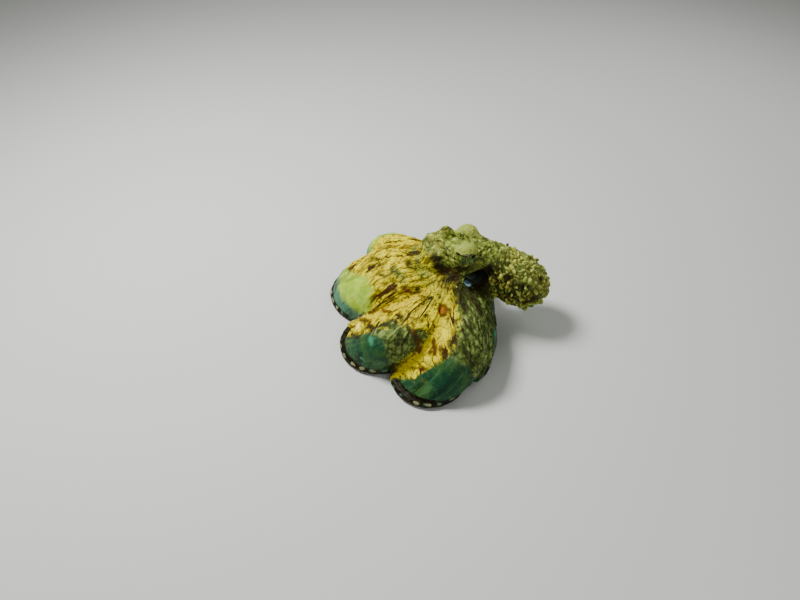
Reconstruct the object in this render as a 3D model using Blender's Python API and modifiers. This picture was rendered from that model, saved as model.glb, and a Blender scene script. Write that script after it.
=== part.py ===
"""Day octopus (Octopus cyanea), life size, crouched on the bottom with its web ballooned out.

The eight arms leave the crown under the head, arch over the web, come down to the floor and there
turn the same way round, each lying along the hem of the web to its next neighbour and curling its
tip up underneath. X runs from the arms back to the mantle, the left arms are at -Y, and Z is up.
Lengths are built in metres from sizes given in millimetres.
"""

import bisect
import math
from collections import namedtuple

import bmesh
import bpy
from mathutils import Matrix, Vector

MM = 0.001
GAP = 0.3 * MM  # left between neighbouring pieces
SHARP_ANGLE = math.radians(50)

# Mantle: the sac behind the head, drooping behind the arms.
MANTLE_LENGTH = 140 * MM
MANTLE_WIDTH = 88 * MM
MANTLE_CENTRE = Vector((82, -5, 92)) * MM
MANTLE_DROOP = math.radians(37)
MANTLE_YAW = math.radians(-6)
MANTLE_TIP_SWELL = 0.12  # how much fuller the far end is than the end at the head
MANTLE_CELLS = (20, 12)  # round the mantle and along it
APERTURE_CENTRE = Vector((24, -33, 110)) * MM  # the slit of the mantle behind the head, left side
APERTURE_SIZE = Vector((14, 20, 17)) * MM

# Head: one blend of rounded masses, each a centre and three half-lengths.
HEAD_MASSES = (
    ((-2, 0, 132), (34, 33, 30)),  # skull
    ((22, 0, 138), (30, 29, 28)),  # neck
    ((46, -2, 130), (27, 30, 27)),  # nape, running into the mantle
    ((-36, 7, 129), (36, 32, 28)),  # forehead over the front arms
    ((-12, -2, 100), (50, 46, 26)),  # crown that the arms leave
    ((3, 18, 161), (20, 15, 19)),  # right eye mound
    ((-2, -16, 157), (21, 16, 17)),  # left eye mound
    ((-31, 22, 159), (14, 11, 18)),  # right brow hump
    ((-49, 18, 142), (22, 16, 22)),  # brow ridge running forward from it
)
HEAD_CELL = 2.5 * MM
HEAD_SMOOTHING = 8
HEAD_FACES = 640
EYE_RADIUS = 11 * MM
EYE_CENTRES = {"left": Vector((-3, -21, 160)) * MM, "right": Vector((3, 23, 162)) * MM}
EYE_CELLS = (14, 8)

# Funnel: the breathing tube, turned out to the left below the eye.
FUNNEL_ROUTE = ((24, -14, 110), (18, -27, 114), (10, -38, 118), (2, -47, 120))
FUNNEL_RADIUS = (12 * MM, 7.5 * MM)  # at the root and at the mouth
FUNNEL_WALL = 2 * MM
FUNNEL_BORE_DEPTH = 20 * MM

# Crown: where the arms start, inside the head's lowest mass.
CROWN_CENTRE = Vector((-10, -2, 100)) * MM
CROWN_RADIUS = 29 * MM
ARM_SPACING = math.radians(45)
FIRST_ARM = math.radians(22.5)

# Arms, anticlockwise from the right rear one as seen from above, in millimetres: the bend, shoulder
# and knee that each passes on its way down, the foot where it reaches the floor, how far the hem
# from there to the next foot swells out, how far the web above that hem does, and the share of the
# way down at which it does so most.
Arm = namedtuple("Arm", "name bend shoulder knee foot hem_swell web_swell web_peak")
ARMS = (
    Arm("r4", (30, 16, 92), (37, 22, 74), (41, 26, 40), (43, 28), 14, 6, 0.53),
    Arm("r3", (5, 52, 98), (6, 82, 76), (9, 98, 42), (10, 108), 24, 16, 0.53),
    Arm("r2", (-42, 58, 96), (-72, 88, 66), (-82, 112, 36), (-84, 124), 44, 22, 0.74),
    Arm("r1", (-75, 34, 124), (-128, 60, 90), (-166, 88, 46), (-182, 104), 41, 26, 0.53),
    Arm("l1", (-62, -52, 92), (-112, -64, 74), (-156, -58, 44), (-186, -38), 42, 26, 0.53),
    Arm("l2", (-32, -74, 96), (-50, -122, 78), (-83, -139, 38), (-114, -147), 50, 24, 0.53),
    Arm("l3", (22, -62, 88), (34, -102, 68), (36, -128, 36), (13, -151), 14, 5, 0.53),
    Arm("l4", (28, -30, 92), (36, -46, 72), (40, -56, 38), (42, -62), 14, 6, 0.53),
)
REAR_ARMS = (ARMS[0], ARMS[-1])  # the two under the mantle
Route = namedtuple("Route", "points run")
WEB_CENTRE = Vector((-60, -25, 0)) * MM
ARM_RADIUS = (11.5 * MM, 1.3 * MM)  # at the crown and at the tip
ARM_TAPER = 0.85
ARM_RESOLUTION = 2  # of the bevelled curve, which makes 8 sides
TIP_RESOLUTION = 1  # and 6
ARM_LENGTHS = ("base", "middle", "tip")
RING_STEP_RADII = 2.2  # the rings of an arm stand this many of its radii apart,
RING_STEP = 4 * MM  # and this much more
FLAT_DEPTH = 0.8 * MM  # how much of an arm's underside is pressed flat on the floor
HEM_HEIGHT = 6.5 * MM  # of an arm's centre line where it lies along the hem
TIP_HEIGHT = 3 * MM  # and where it curls up beneath
HEM_SHARES = (0.2, 0.4, 0.6, 0.8)  # of the hem, where an arm's knots lie on it
HEM_STOP = 15 * MM  # an arm leaves the hem this far before its neighbour's foot
TUCK_DEPTH = 30 * MM  # and passes this far inside that foot
TIP_REACH = 24 * MM
COIL_RADIUS = (20 * MM, 5 * MM)
COIL_TURNS = 1.6
COIL_KNOTS = 13
SPAN = 12  # points drawn between two knots of an arm
FOOT_KNOT = 4
BASE_KNOTS = 6  # an arm is parted on the hem, past its foot,
MIDDLE_KNOTS = 8  # and again before it leaves the hem
TUCK_KNOT = 10
FOOT_ROUNDING = 24  # passes that round the turns at the foot and the tuck
CUFF = 3 * MM  # the straight end of a parted length

# Web between the arms.
WEB_THICKNESS = 4 * MM
WEB_CELLS = 5
HEM_SHARE = 0.86  # the share of a web's hem that is carried on its arm
WEB_HEIGHT_CENTRE = 20 * MM  # the web balloons away from this height over its centre
WEB_FULLNESS = (0.8, 0.9)  # powers of the sine that shapes it across and down; lower is fuller

MERGE = 0.02 * MM

SKIN_OLIVE = "7C8040"
SKIN_BROWN = "6E5426"
WEB_GREEN = "848C4A"
EYE_GOLD = "A9A36A"


def linear(value):
    """One sRGB channel, 0 to 1, as linear light."""
    return value / 12.92 if value <= 0.04045 else ((value + 0.055) / 1.055) ** 2.4


def make_material(name, colour, roughness):
    material = bpy.data.materials.new(name)
    material.use_nodes = True
    shader = material.node_tree.nodes["Principled BSDF"]
    channels = [int(colour[i : i + 2], 16) / 255 for i in (0, 2, 4)]
    shader.inputs["Base Color"].default_value = [linear(c) for c in channels] + [1]
    shader.inputs["Roughness"].default_value = roughness
    shader.inputs["Metallic"].default_value = 0
    return material


def add_object(name, mesh, collection, material=None):
    obj = bpy.data.objects.new(name, mesh)
    collection.objects.link(obj)
    if material:
        mesh.materials.append(material)
    return obj


def mesh_from(bm, name):
    """A mesh of bm with outward normals, and bm freed."""
    bmesh.ops.recalc_face_normals(bm, faces=bm.faces)
    mesh = bpy.data.meshes.new(name)
    bm.to_mesh(mesh)
    bm.free()
    return mesh


def bake_modifiers(obj):
    """Replaces an object's mesh by what its modifiers make of it."""
    bpy.context.view_layer.update()
    graph = bpy.context.evaluated_depsgraph_get()
    mesh = bpy.data.meshes.new_from_object(obj.evaluated_get(graph))
    obj.modifiers.clear()
    obj.data = mesh
    return obj


def catmull_rom(points, per_span=SPAN):
    """A smooth run of points through the given ones, with each span shared out evenly."""
    ends = [2 * points[0] - points[1]] + points + [2 * points[-1] - points[-2]]
    smooth = []
    for a, b, c, d in zip(ends, ends[1:], ends[2:], ends[3:]):
        for i in range(per_span):
            t = i / per_span
            smooth.append(
                0.5 * (2 * b + (c - a) * t + (2 * a - 5 * b + 4 * c - d) * t**2)
                + 0.5 * (3 * b - a - 3 * c + d) * t**3
            )
    return smooth + [points[-1]]


def make_route(points):
    """Points with the length run at each."""
    run = [0.0]
    for a, b in zip(points, points[1:]):
        run.append(run[-1] + (b - a).length)
    return Route(points, run)


def point_at(route, length):
    """The point of a route at a length along it."""
    i = min(bisect.bisect_left(route.run, length, 1), len(route.points) - 1)
    before, after = route.run[i - 1], route.run[i]
    return route.points[i - 1].lerp(route.points[i], (length - before) / (after - before))


def tube(name, rings, collection, resolution=ARM_RESOLUTION):
    """A closed tube through rings (centre, radius), made as a bevelled curve and then a mesh."""
    curve = bpy.data.curves.new(name, "CURVE")
    curve.dimensions = "3D"
    curve.bevel_depth = 1
    curve.bevel_resolution = resolution
    curve.use_fill_caps = True
    spline = curve.splines.new("POLY")
    spline.points.add(len(rings) - 1)
    for knot, (centre, radius) in zip(spline.points, rings):
        knot.co = (*centre, 1)
        knot.radius = radius
    guide = add_object(name + "_route", curve, collection)
    bpy.context.view_layer.update()
    graph = bpy.context.evaluated_depsgraph_get()
    mesh = bpy.data.meshes.new_from_object(guide.evaluated_get(graph))
    bpy.data.objects.remove(guide)
    bm = bmesh.new()
    bm.from_mesh(mesh)
    bmesh.ops.remove_doubles(bm, verts=bm.verts, dist=MERGE)
    return add_object(name, mesh_from(bm, name), collection)


def cut_level(obj, height):
    """Cuts off what lies under a height and closes the cut with a flat."""
    bm = bmesh.new()
    bm.from_mesh(obj.data)
    parts = list(bm.verts) + list(bm.edges) + list(bm.faces)
    cut = bmesh.ops.bisect_plane(
        bm, geom=parts, dist=1e-6, plane_co=(0, 0, height), plane_no=(0, 0, 1), clear_inner=True
    )
    rim = [e for e in cut["geom_cut"] if isinstance(e, bmesh.types.BMEdge)]
    bmesh.ops.holes_fill(bm, edges=rim)
    bmesh.ops.recalc_face_normals(bm, faces=bm.faces)
    bm.to_mesh(obj.data)
    bm.free()


def swollen(obj, by, collection):
    """A copy of a closed piece, grown along its normals, that cuts its neighbours."""
    copy = add_object(obj.name + "_clearance", obj.data.copy(), collection)
    moves = [v.normal * by for v in copy.data.vertices]
    for vertex, move in zip(copy.data.vertices, moves):
        vertex.co += move
    return copy


def triangulate(obj):
    """Splits an object's warped faces into triangles, which cut cleanly."""
    bm = bmesh.new()
    bm.from_mesh(obj.data)
    bmesh.ops.triangulate(bm, faces=bm.faces)
    bm.to_mesh(obj.data)
    bm.free()


def subtract(obj, *cutters):
    """Cuts obj by the cutters, and drops any offcut that comes loose."""
    for solid in (obj, *cutters):
        triangulate(solid)
    for cutter in cutters:
        modifier = obj.modifiers.new(cutter.name, "BOOLEAN")
        modifier.operation = "DIFFERENCE"
        modifier.solver = "EXACT"
        modifier.object = cutter
    bake_modifiers(obj)
    keep_largest(obj)


def keep_largest(obj):
    bm = bmesh.new()
    bm.from_mesh(obj.data)
    left, islands = set(bm.verts), []
    while left:
        island, edge = set(), [left.pop()]
        while edge:
            vertex = edge.pop()
            island.add(vertex)
            fresh = {e.other_vert(vertex) for e in vertex.link_edges} & left
            left -= fresh
            edge.extend(fresh)
        islands.append(island)
    largest = max(islands, key=len)
    bmesh.ops.delete(bm, geom=[v for v in bm.verts if v not in largest], context="VERTS")
    bm.to_mesh(obj.data)
    bm.free()


def ball(bm, centre, half_lengths, segments=20, rings=12):
    """An ellipsoid added to a bmesh."""
    place = Matrix.Translation(Vector(centre)) @ Matrix.Diagonal((*half_lengths, 1))
    bmesh.ops.create_uvsphere(bm, u_segments=segments, v_segments=rings, radius=1, matrix=place)


def blended(name, bm, voxel, smoothing, faces, collection, material):
    """Overlapping masses fused into one smooth closed piece of about so many faces."""
    obj = add_object(name, mesh_from(bm, name), collection, material)
    remesh = obj.modifiers.new("fuse", "REMESH")
    remesh.mode = "VOXEL"
    remesh.voxel_size = voxel
    smooth = obj.modifiers.new("smooth", "SMOOTH")
    smooth.factor = 0.5
    smooth.iterations = smoothing
    bake_modifiers(obj)
    thin = obj.modifiers.new("thin", "DECIMATE")
    thin.ratio = min(1, faces / (2 * len(obj.data.polygons)))
    return bake_modifiers(obj)


def make_head(collection, material):
    bm = bmesh.new()
    for centre, half_lengths in HEAD_MASSES:
        ball(bm, Vector(centre) * MM, Vector(half_lengths) * MM)
    return blended("head", bm, HEAD_CELL, HEAD_SMOOTHING, HEAD_FACES, collection, material)


def make_mantle(collection, material):
    bm = bmesh.new()
    around, lengthwise = MANTLE_CELLS
    bmesh.ops.create_uvsphere(bm, u_segments=around, v_segments=lengthwise, radius=1)
    bmesh.ops.rotate(bm, verts=bm.verts, matrix=Matrix.Rotation(math.pi / 2, 3, "Y"))
    for vertex in bm.verts:
        along = vertex.co.x
        girth = (1 + MANTLE_TIP_SWELL * along) * MANTLE_WIDTH / 2
        vertex.co = Vector((along * MANTLE_LENGTH / 2, vertex.co.y * girth, vertex.co.z * girth))
    turn = Matrix.Rotation(MANTLE_YAW, 4, "Z") @ Matrix.Rotation(MANTLE_DROOP, 4, "Y")
    bmesh.ops.transform(bm, matrix=Matrix.Translation(MANTLE_CENTRE) @ turn, verts=bm.verts)
    return add_object("mantle", mesh_from(bm, "mantle"), collection, material)


def make_aperture(collection):
    """The hollow between mantle and head that the funnel comes out of."""
    bm = bmesh.new()
    ball(bm, APERTURE_CENTRE, APERTURE_SIZE)
    return add_object("aperture", mesh_from(bm, "aperture"), collection)


def make_funnel(parts, cutters, material):
    route = make_route(catmull_rom([Vector(p) * MM for p in FUNNEL_ROUTE], 3))
    wide, narrow = FUNNEL_RADIUS
    rings = [
        (point, wide + (narrow - wide) * length / route.run[-1])
        for point, length in zip(route.points, route.run)
    ]
    funnel = tube("funnel", rings, parts)
    funnel.data.materials.append(material)
    clearance = swollen(funnel, GAP, cutters)
    bore_start = route.run[-1] - FUNNEL_BORE_DEPTH
    bored = [(p, r - FUNNEL_WALL) for (p, r), s in zip(rings, route.run) if s > bore_start]
    ahead = (route.points[-1] - route.points[-2]).normalized()
    bored.append((route.points[-1] + ahead * FUNNEL_WALL, bored[-1][1]))
    subtract(funnel, tube("funnel_bore", bored, cutters))
    return funnel, clearance


def make_eye(side, parts, material):
    bm = bmesh.new()
    around, lengthwise = EYE_CELLS
    place = Matrix.Translation(EYE_CENTRES[side])
    bmesh.ops.create_uvsphere(bm, u_segments=around, v_segments=lengthwise, radius=EYE_RADIUS, matrix=place)
    return add_object("eye_" + side, mesh_from(bm, "eye_" + side), parts, material)


def arm_radius(share):
    """An arm's radius at a share of its length."""
    base, tip = ARM_RADIUS
    return tip + (base - tip) * (1 - share) ** ARM_TAPER


def root_of(index):
    angle = FIRST_ARM + index * ARM_SPACING
    return CROWN_CENTRE + CROWN_RADIUS * Vector((math.cos(angle), math.sin(angle), 0))


def foot_of(index, height=0.0):
    x, y = ARMS[index % len(ARMS)].foot
    return Vector((x * MM, y * MM, height))


def hem_arc(start, end, swell, share):
    """A point on the level arc from start to end that swells out from the web's centre."""
    chord = end - start
    half = chord.length / 2
    radius = (half**2 + swell**2) / (2 * swell)
    outward = Vector((chord.y, -chord.x, 0)).normalized()
    middle = (start + end) / 2
    if outward.dot(middle - WEB_CENTRE) < 0:
        outward = -outward
    sweep = 2 * math.asin(min(1, half / radius))
    if swell > half:
        sweep = 2 * math.pi - sweep
    angle = (share - 0.5) * sweep
    centre = middle + outward * (swell - radius)
    along = chord.normalized()
    point = centre + radius * (outward * math.cos(angle) + along * math.sin(angle))
    point.z = start.z + (end.z - start.z) * share
    return point


def hem_end(index, height):
    """Where an arm leaves the hem, just before its neighbour's foot."""
    here, there = foot_of(index, height), foot_of(index + 1, height)
    return there + (here - there).normalized() * HEM_STOP


def coil(centre, start_angle, height):
    """The curled tip: a spiral that winds in on the floor."""
    wide, tight = COIL_RADIUS
    for i in range(COIL_KNOTS):
        share = i / (COIL_KNOTS - 1)
        angle = start_angle + share * COIL_TURNS * 2 * math.pi
        radius = wide + (tight - wide) * share
        yield centre + Vector((radius * math.cos(angle), radius * math.sin(angle), height))


def arm_knots(index):
    """The points that an arm's centre line is drawn through."""
    arm = ARMS[index]
    way_down = [Vector(point) * MM for point in (arm.bend, arm.shoulder, arm.knee)]
    foot = foot_of(index, HEM_HEIGHT)
    stop = hem_end(index, HEM_HEIGHT)
    hem = [hem_arc(foot, stop, arm.hem_swell * MM, share) for share in HEM_SHARES]
    next_foot = foot_of(index + 1, 0)
    inward = (WEB_CENTRE - next_foot).normalized()
    sideways = Vector((-inward.y, inward.x, 0))
    if sideways.dot(foot_of(index + 2) - next_foot) < 0:
        sideways = -sideways
    tuck = next_foot + inward * TUCK_DEPTH + Vector((0, 0, TIP_HEIGHT))
    reach = tuck + inward * COIL_RADIUS[0] + sideways * TIP_REACH
    start = math.atan2(-inward.y, -inward.x)
    hub = reach.copy()
    hub.z = 0
    tip = list(coil(hub, start, TIP_HEIGHT))
    return [root_of(index)] + way_down + [foot] + hem + [stop, tuck] + tip


def arm_line(index):
    """An arm's centre line, with the turns at its foot and tuck rounded off."""
    line = catmull_rom(arm_knots(index))
    for _ in range(FOOT_ROUNDING):
        before, middle, after = line[:-2], line[1:-1], line[2:]
        eased = [(a + 2 * b + c) / 4 for a, b, c in zip(before, middle, after)]
        line[1 : TUCK_KNOT * SPAN] = eased[: TUCK_KNOT * SPAN - 1]
    return line


def ring_at(route, length):
    """The centre and radius of an arm's ring, lifted to where the arm lies on the floor."""
    radius = arm_radius(length / route.run[-1])
    centre = point_at(route, length)
    centre.z = max(centre.z, radius - FLAT_DEPTH)
    return centre, radius


def parting_rings(route, length):
    """The two rings that end one length of an arm and the two that start the next, all square to it."""
    centre, radius = ring_at(route, length)
    along = (ring_at(route, length + CUFF)[0] - ring_at(route, length - CUFF)[0]).normalized()
    shifts = (-GAP / 2 - CUFF, -GAP / 2, GAP / 2, GAP / 2 + CUFF)
    return [(centre + along * shift, radius) for shift in shifts]


def rings_between(route, start, end):
    """The rings between two places on an arm, closer together where it is thin."""
    rings = []
    while True:
        step = RING_STEP_RADII * arm_radius(start / route.run[-1]) + RING_STEP
        if start + 1.5 * step > end:
            return rings
        start += step
        rings.append(ring_at(route, start))


def arm_rings(route, places):
    """The rings of each length of an arm that is parted at the places between the first and last."""
    partings = [parting_rings(route, place) for place in places[1:-1]]
    firsts = [[ring_at(route, places[0])]] + [rings[2:] for rings in partings]
    lasts = [rings[:2] for rings in partings] + [[ring_at(route, places[-1])]]
    spans = zip(firsts, lasts, places, places[1:])
    return [first + rings_between(route, start, end) + last for first, last, start, end in spans]


def make_arm(index, parts, cutters, material):
    """An arm in its lengths, and a clearance around each of them."""
    name = "arm_" + ARMS[index].name
    route = make_route(arm_line(index))
    places = [route.run[int(knot * SPAN)] for knot in (0, BASE_KNOTS, MIDDLE_KNOTS)] + [route.run[-1]]
    clearances = []
    for suffix, rings in zip(ARM_LENGTHS, arm_rings(route, places)):
        obj = tube(f"{name}_{suffix}", rings, parts, TIP_RESOLUTION if suffix == "tip" else ARM_RESOLUTION)
        obj.data.materials.append(material)
        clearances.append(swollen(obj, GAP, cutters))
        cut_level(obj, 0)
    return clearances


def web_surface(index, across, down):
    """A point of the web between an arm and the next, blended between its four edges."""
    after = (index + 1) % len(ARMS)
    left, right = descent(index), descent(after)
    crown = root_of(index).lerp(root_of(after), across)
    crown_left, crown_right = root_of(index), root_of(after)
    hem_left, hem_right = foot_of(index, HEM_HEIGHT), foot_of(after, HEM_HEIGHT)
    hem = web_hem(index, across)
    sides = left(down).lerp(right(down), across)
    ends = crown.lerp(hem, down)
    corners = crown_left.lerp(crown_right, across).lerp(hem_left.lerp(hem_right, across), down)
    base = sides + ends - corners
    centre = WEB_CENTRE + Vector((0, 0, WEB_HEIGHT_CENTRE))
    outward = (base - centre).normalized()
    swell = ARMS[index].web_swell * MM
    to_peak = math.log(0.5) / math.log(ARMS[index].web_peak)
    full_across, full_down = WEB_FULLNESS
    fullness = math.sin(math.pi * across) ** full_across * math.sin(math.pi * down**to_peak) ** full_down
    return base + outward * swell * fullness


def descent(index):
    """An arm's centre line from the crown to its foot, as a function of the share of the way."""
    route = make_route(arm_line(index)[: FOOT_KNOT * SPAN + 1])
    return lambda share: point_at(route, share * route.run[-1])


def web_hem(index, across):
    """The web's lower edge: along its arm, then on to the next arm's foot."""
    foot, stop = foot_of(index, HEM_HEIGHT), hem_end(index, HEM_HEIGHT)
    if across < HEM_SHARE:
        return hem_arc(foot, stop, ARMS[index].hem_swell * MM, across / HEM_SHARE)
    return stop.lerp(foot_of(index + 1, HEM_HEIGHT), (across - HEM_SHARE) / (1 - HEM_SHARE))


def make_web(index, parts, material):
    after = (index + 1) % len(ARMS)
    name = f"web_{ARMS[index].name}_{ARMS[after].name}"
    bm = bmesh.new()
    bmesh.ops.create_grid(bm, x_segments=WEB_CELLS, y_segments=WEB_CELLS, size=0.5)
    for vertex in bm.verts:
        vertex.co = web_surface(index, vertex.co.x + 0.5, 0.5 - vertex.co.y)
    web = add_object(name, mesh_from(bm, name), parts, material)
    wall = web.modifiers.new("wall", "SOLIDIFY")
    wall.thickness = WEB_THICKNESS
    wall.offset = 0  # shared evenly to both sides
    wall.use_even_offset = True
    return bake_modifiers(web)


def place_on_origin(parts):
    """Moves everything so that the origin is at the middle of the footprint, on the floor."""
    corners = [v.co for obj in parts.objects for v in obj.data.vertices]
    low = Vector(min(c[i] for c in corners) for i in range(3))
    high = Vector(max(c[i] for c in corners) for i in range(3))
    shift = Vector((-(low.x + high.x) / 2, -(low.y + high.y) / 2, -low.z))
    for obj in parts.objects:
        obj.data.transform(Matrix.Translation(shift))


def main():
    for obj in list(bpy.data.objects):
        bpy.data.objects.remove(obj)
    parts = bpy.data.collections.new("octopus")
    cutters = bpy.data.collections.new("cutters")
    for collection in (parts, cutters):
        bpy.context.scene.collection.children.link(collection)
    skin = make_material("mottled_skin", SKIN_OLIVE, 0.55)
    arm_skin = make_material("banded_arm_skin", SKIN_BROWN, 0.5)
    web_skin = make_material("web_skin", WEB_GREEN, 0.45)
    eye_skin = make_material("eye", EYE_GOLD, 0.15)

    head = make_head(parts, skin)
    head_clearance = swollen(head, GAP, cutters)
    mantle = make_mantle(parts, skin)
    funnel, funnel_clearance = make_funnel(parts, cutters, web_skin)
    eyes = [make_eye(side, parts, eye_skin) for side in EYE_CENTRES]
    eye_clearances = [swollen(eye, GAP, cutters) for eye in eyes]
    arm_clearances = [make_arm(index, parts, cutters, arm_skin) for index in range(len(ARMS))]

    subtract(mantle, head_clearance, make_aperture(cutters), funnel_clearance)
    subtract(head, funnel_clearance, *eye_clearances)
    mantle_clearance = swollen(mantle, GAP, cutters)
    for arm in ARMS:
        base = bpy.data.objects[f"arm_{arm.name}_base"]
        subtract(base, head_clearance, *([mantle_clearance, funnel_clearance] if arm in REAR_ARMS else []))
    for index in range(len(ARMS)):
        web = make_web(index, parts, web_skin)
        after = (index + 1) % len(ARMS)
        arms_here = arm_clearances[index - 1] + arm_clearances[index] + arm_clearances[after]
        subtract(web, head_clearance, *arms_here)
        if ARMS[index] in REAR_ARMS:
            subtract(web, mantle_clearance)
        cut_level(web, GAP)
    for cutter in cutters.objects:
        cutter.hide_render = True
        cutter.display_type = "WIRE"
    place_on_origin(parts)
    for obj in parts.objects:
        obj.data.shade_smooth()
        obj.data.set_sharp_from_angle(angle=SHARP_ANGLE)


main()
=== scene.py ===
"""Day octopus (Octopus cyanea) dressed in its living skin, on a pale studio floor.

One skin covers the head, the mantle, the arms and the web without a seam. It is drawn from the same
named sizes as the solids beneath it, fused, smoothed and then sculpted with the creases of the web,
the eyelids and the warts of the back. Its markings follow the arms and the folds of the web.
"""

import math
import random
from collections import namedtuple

import bmesh
import bpy
import numpy as np
from bpy.props import FloatProperty, FloatVectorProperty, PointerProperty
from mathutils import Euler, Matrix, Vector, kdtree, noise


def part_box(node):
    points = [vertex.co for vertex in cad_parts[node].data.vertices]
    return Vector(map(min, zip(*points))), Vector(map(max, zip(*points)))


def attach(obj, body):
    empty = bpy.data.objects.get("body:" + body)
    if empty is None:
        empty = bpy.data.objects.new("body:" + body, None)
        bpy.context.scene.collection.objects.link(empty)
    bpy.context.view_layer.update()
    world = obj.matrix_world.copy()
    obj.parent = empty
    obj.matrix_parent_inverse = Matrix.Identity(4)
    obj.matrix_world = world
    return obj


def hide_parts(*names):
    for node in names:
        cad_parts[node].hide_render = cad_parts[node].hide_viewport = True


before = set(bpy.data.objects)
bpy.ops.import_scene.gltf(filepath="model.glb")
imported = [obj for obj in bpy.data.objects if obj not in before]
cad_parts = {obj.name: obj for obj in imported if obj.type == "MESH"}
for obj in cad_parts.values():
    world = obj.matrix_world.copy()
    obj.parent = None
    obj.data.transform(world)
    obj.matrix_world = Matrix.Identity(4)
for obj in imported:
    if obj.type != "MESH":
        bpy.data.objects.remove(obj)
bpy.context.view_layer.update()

bl_info = {
    "name": "Day octopus",
    "version": (1, 0, 0),
    "blender": (4, 5, 0),
    "location": "3D View > Sidebar > Octopus",
    "description": "Builds the living skin of a day octopus around its solids",
    "category": "Object",
}

MM = 0.001

# The solids are moved so that their footprint is centred; the left eye says by how much.
EYE_RADIUS = 11 * MM
EYE_CENTRES = {"left": Vector((-3, -21, 160)) * MM, "right": Vector((3, 23, 162)) * MM}
SHIFT = (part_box("eye_left")[0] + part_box("eye_left")[1]) / 2 - EYE_CENTRES["left"]

MANTLE_LENGTH = 140 * MM
MANTLE_WIDTH = 88 * MM
MANTLE_CENTRE = Vector((82, -5, 92)) * MM
MANTLE_TURN = Matrix.Rotation(math.radians(-6), 4, "Z") @ Matrix.Rotation(math.radians(37), 4, "Y")
MANTLE_TIP_SWELL = 0.12
APERTURE_CENTRE = Vector((24, -33, 110)) * MM
APERTURE_SIZE = Vector((14, 20, 17)) * MM

# Head: rounded masses, each a centre and three half-lengths.
HEAD_MASSES = (
    ((-2, 0, 132), (34, 33, 30)),  # skull
    ((22, 0, 138), (30, 29, 28)),  # neck
    ((46, -2, 130), (27, 30, 27)),  # nape
    ((-36, 7, 129), (36, 32, 28)),  # forehead
    ((-12, -2, 100), (50, 46, 26)),  # crown
    ((3, 18, 161), (20, 15, 19)),  # right eye mound
    ((-2, -16, 157), (21, 16, 17)),  # left eye mound
    ((-31, 22, 159), (14, 11, 18)),  # right brow hump
    ((-49, 18, 142), (22, 16, 22)),  # brow ridge
)

FUNNEL_ROUTE = ((24, -14, 110), (18, -27, 114), (10, -38, 118), (2, -47, 120))
FUNNEL_RADIUS = (12 * MM, 7.5 * MM)
FUNNEL_WALL = 1.6 * MM
FUNNEL_VALVE_DEPTH = 5 * MM  # how far in the flap that closes the bore lies

# Arms, anticlockwise from the right rear one as seen from above, in millimetres. Beside each lies
# the panel of web between it and the next, which swells most at a share of the way down.
Arm = namedtuple("Arm", "name bend shoulder knee foot hem_swell web_swell fullest")
ARMS = [Arm(*row) for row in (
    ("r4", (30, 16, 92), (37, 22, 74), (41, 26, 40), (43, 28), 14, 6, 0.53),
    ("r3", (5, 52, 98), (6, 82, 76), (9, 98, 42), (10, 108), 24, 16, 0.53),
    ("r2", (-42, 58, 96), (-72, 88, 66), (-82, 112, 36), (-84, 124), 44, 22, 0.74),
    ("r1", (-75, 34, 124), (-128, 60, 90), (-166, 88, 46), (-182, 104), 41, 26, 0.53),
    ("l1", (-62, -52, 92), (-112, -64, 74), (-156, -58, 44), (-186, -38), 42, 26, 0.53),
    ("l2", (-32, -74, 96), (-50, -122, 78), (-83, -139, 38), (-114, -147), 50, 24, 0.53),
    ("l3", (22, -62, 88), (34, -102, 68), (36, -128, 36), (13, -151), 14, 5, 0.53),
    ("l4", (28, -30, 92), (36, -46, 72), (40, -56, 38), (42, -62), 14, 6, 0.53),
)]
CROWN_CENTRE = Vector((-10, -2, 100)) * MM
CROWN_RADIUS = 29 * MM  # of the ring on which the arms start
ARM_SPACING = math.radians(45)
FIRST_ARM = math.radians(22.5)
WEB_CENTRE = Vector((-60, -25, 0)) * MM
WEB_MIDDLE = np.array(WEB_CENTRE) + (0, 0, 20 * MM)  # the web swells away from here
ARM_RADIUS = (11.5 * MM, 1.3 * MM)  # at the crown and at the tip
ARM_TAPER = 0.85
ARM_FIT = 0.94  # of the solid arm's radius, so that the skin lies inside its flats
HEM_HEIGHT = 6.5 * MM  # of an arm's middle where it lies along the hem
TIP_HEIGHT = 3 * MM
HEM_STOP = 15 * MM  # how far short of the next foot an arm leaves the hem
HEM_SHARES = (0.2, 0.4, 0.6, 0.8)
HEM_SHARE = 0.86  # share of a panel's hem that follows its arm's arc
TUCK_DEPTH = 30 * MM  # how far in beneath the web an arm turns
TIP_REACH = 24 * MM  # from there sideways to the middle of its coil
COIL_RADIUS = (20 * MM, 5 * MM)
COIL_TURNS = 1.6
COIL_KNOTS = 13
SPAN = 12  # points of a line for each of its knots
FOOT_KNOT = 4
TUCK_KNOT = 10
FOOT_ROUNDING = 24  # passes that ease the bends of an arm

WEB_THICKNESS = 3.2 * MM
WEB_SAMPLES = 40  # cells each way of the smooth web
SKIN_TRIANGLES = 199_000


def linear(code):
    """A six-figure sRGB colour as linear light."""
    channels = [int(code[i : i + 2], 16) / 255 for i in (0, 2, 4)]
    return [c / 12.92 if c <= 0.04045 else ((c + 0.055) / 1.055) ** 2.4 for c in channels]


def colour_property(name, description, code):
    return FloatVectorProperty(
        name=name, description=description, subtype="COLOR", size=3, min=0, max=1,
        default=linear(code),
    )


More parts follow.
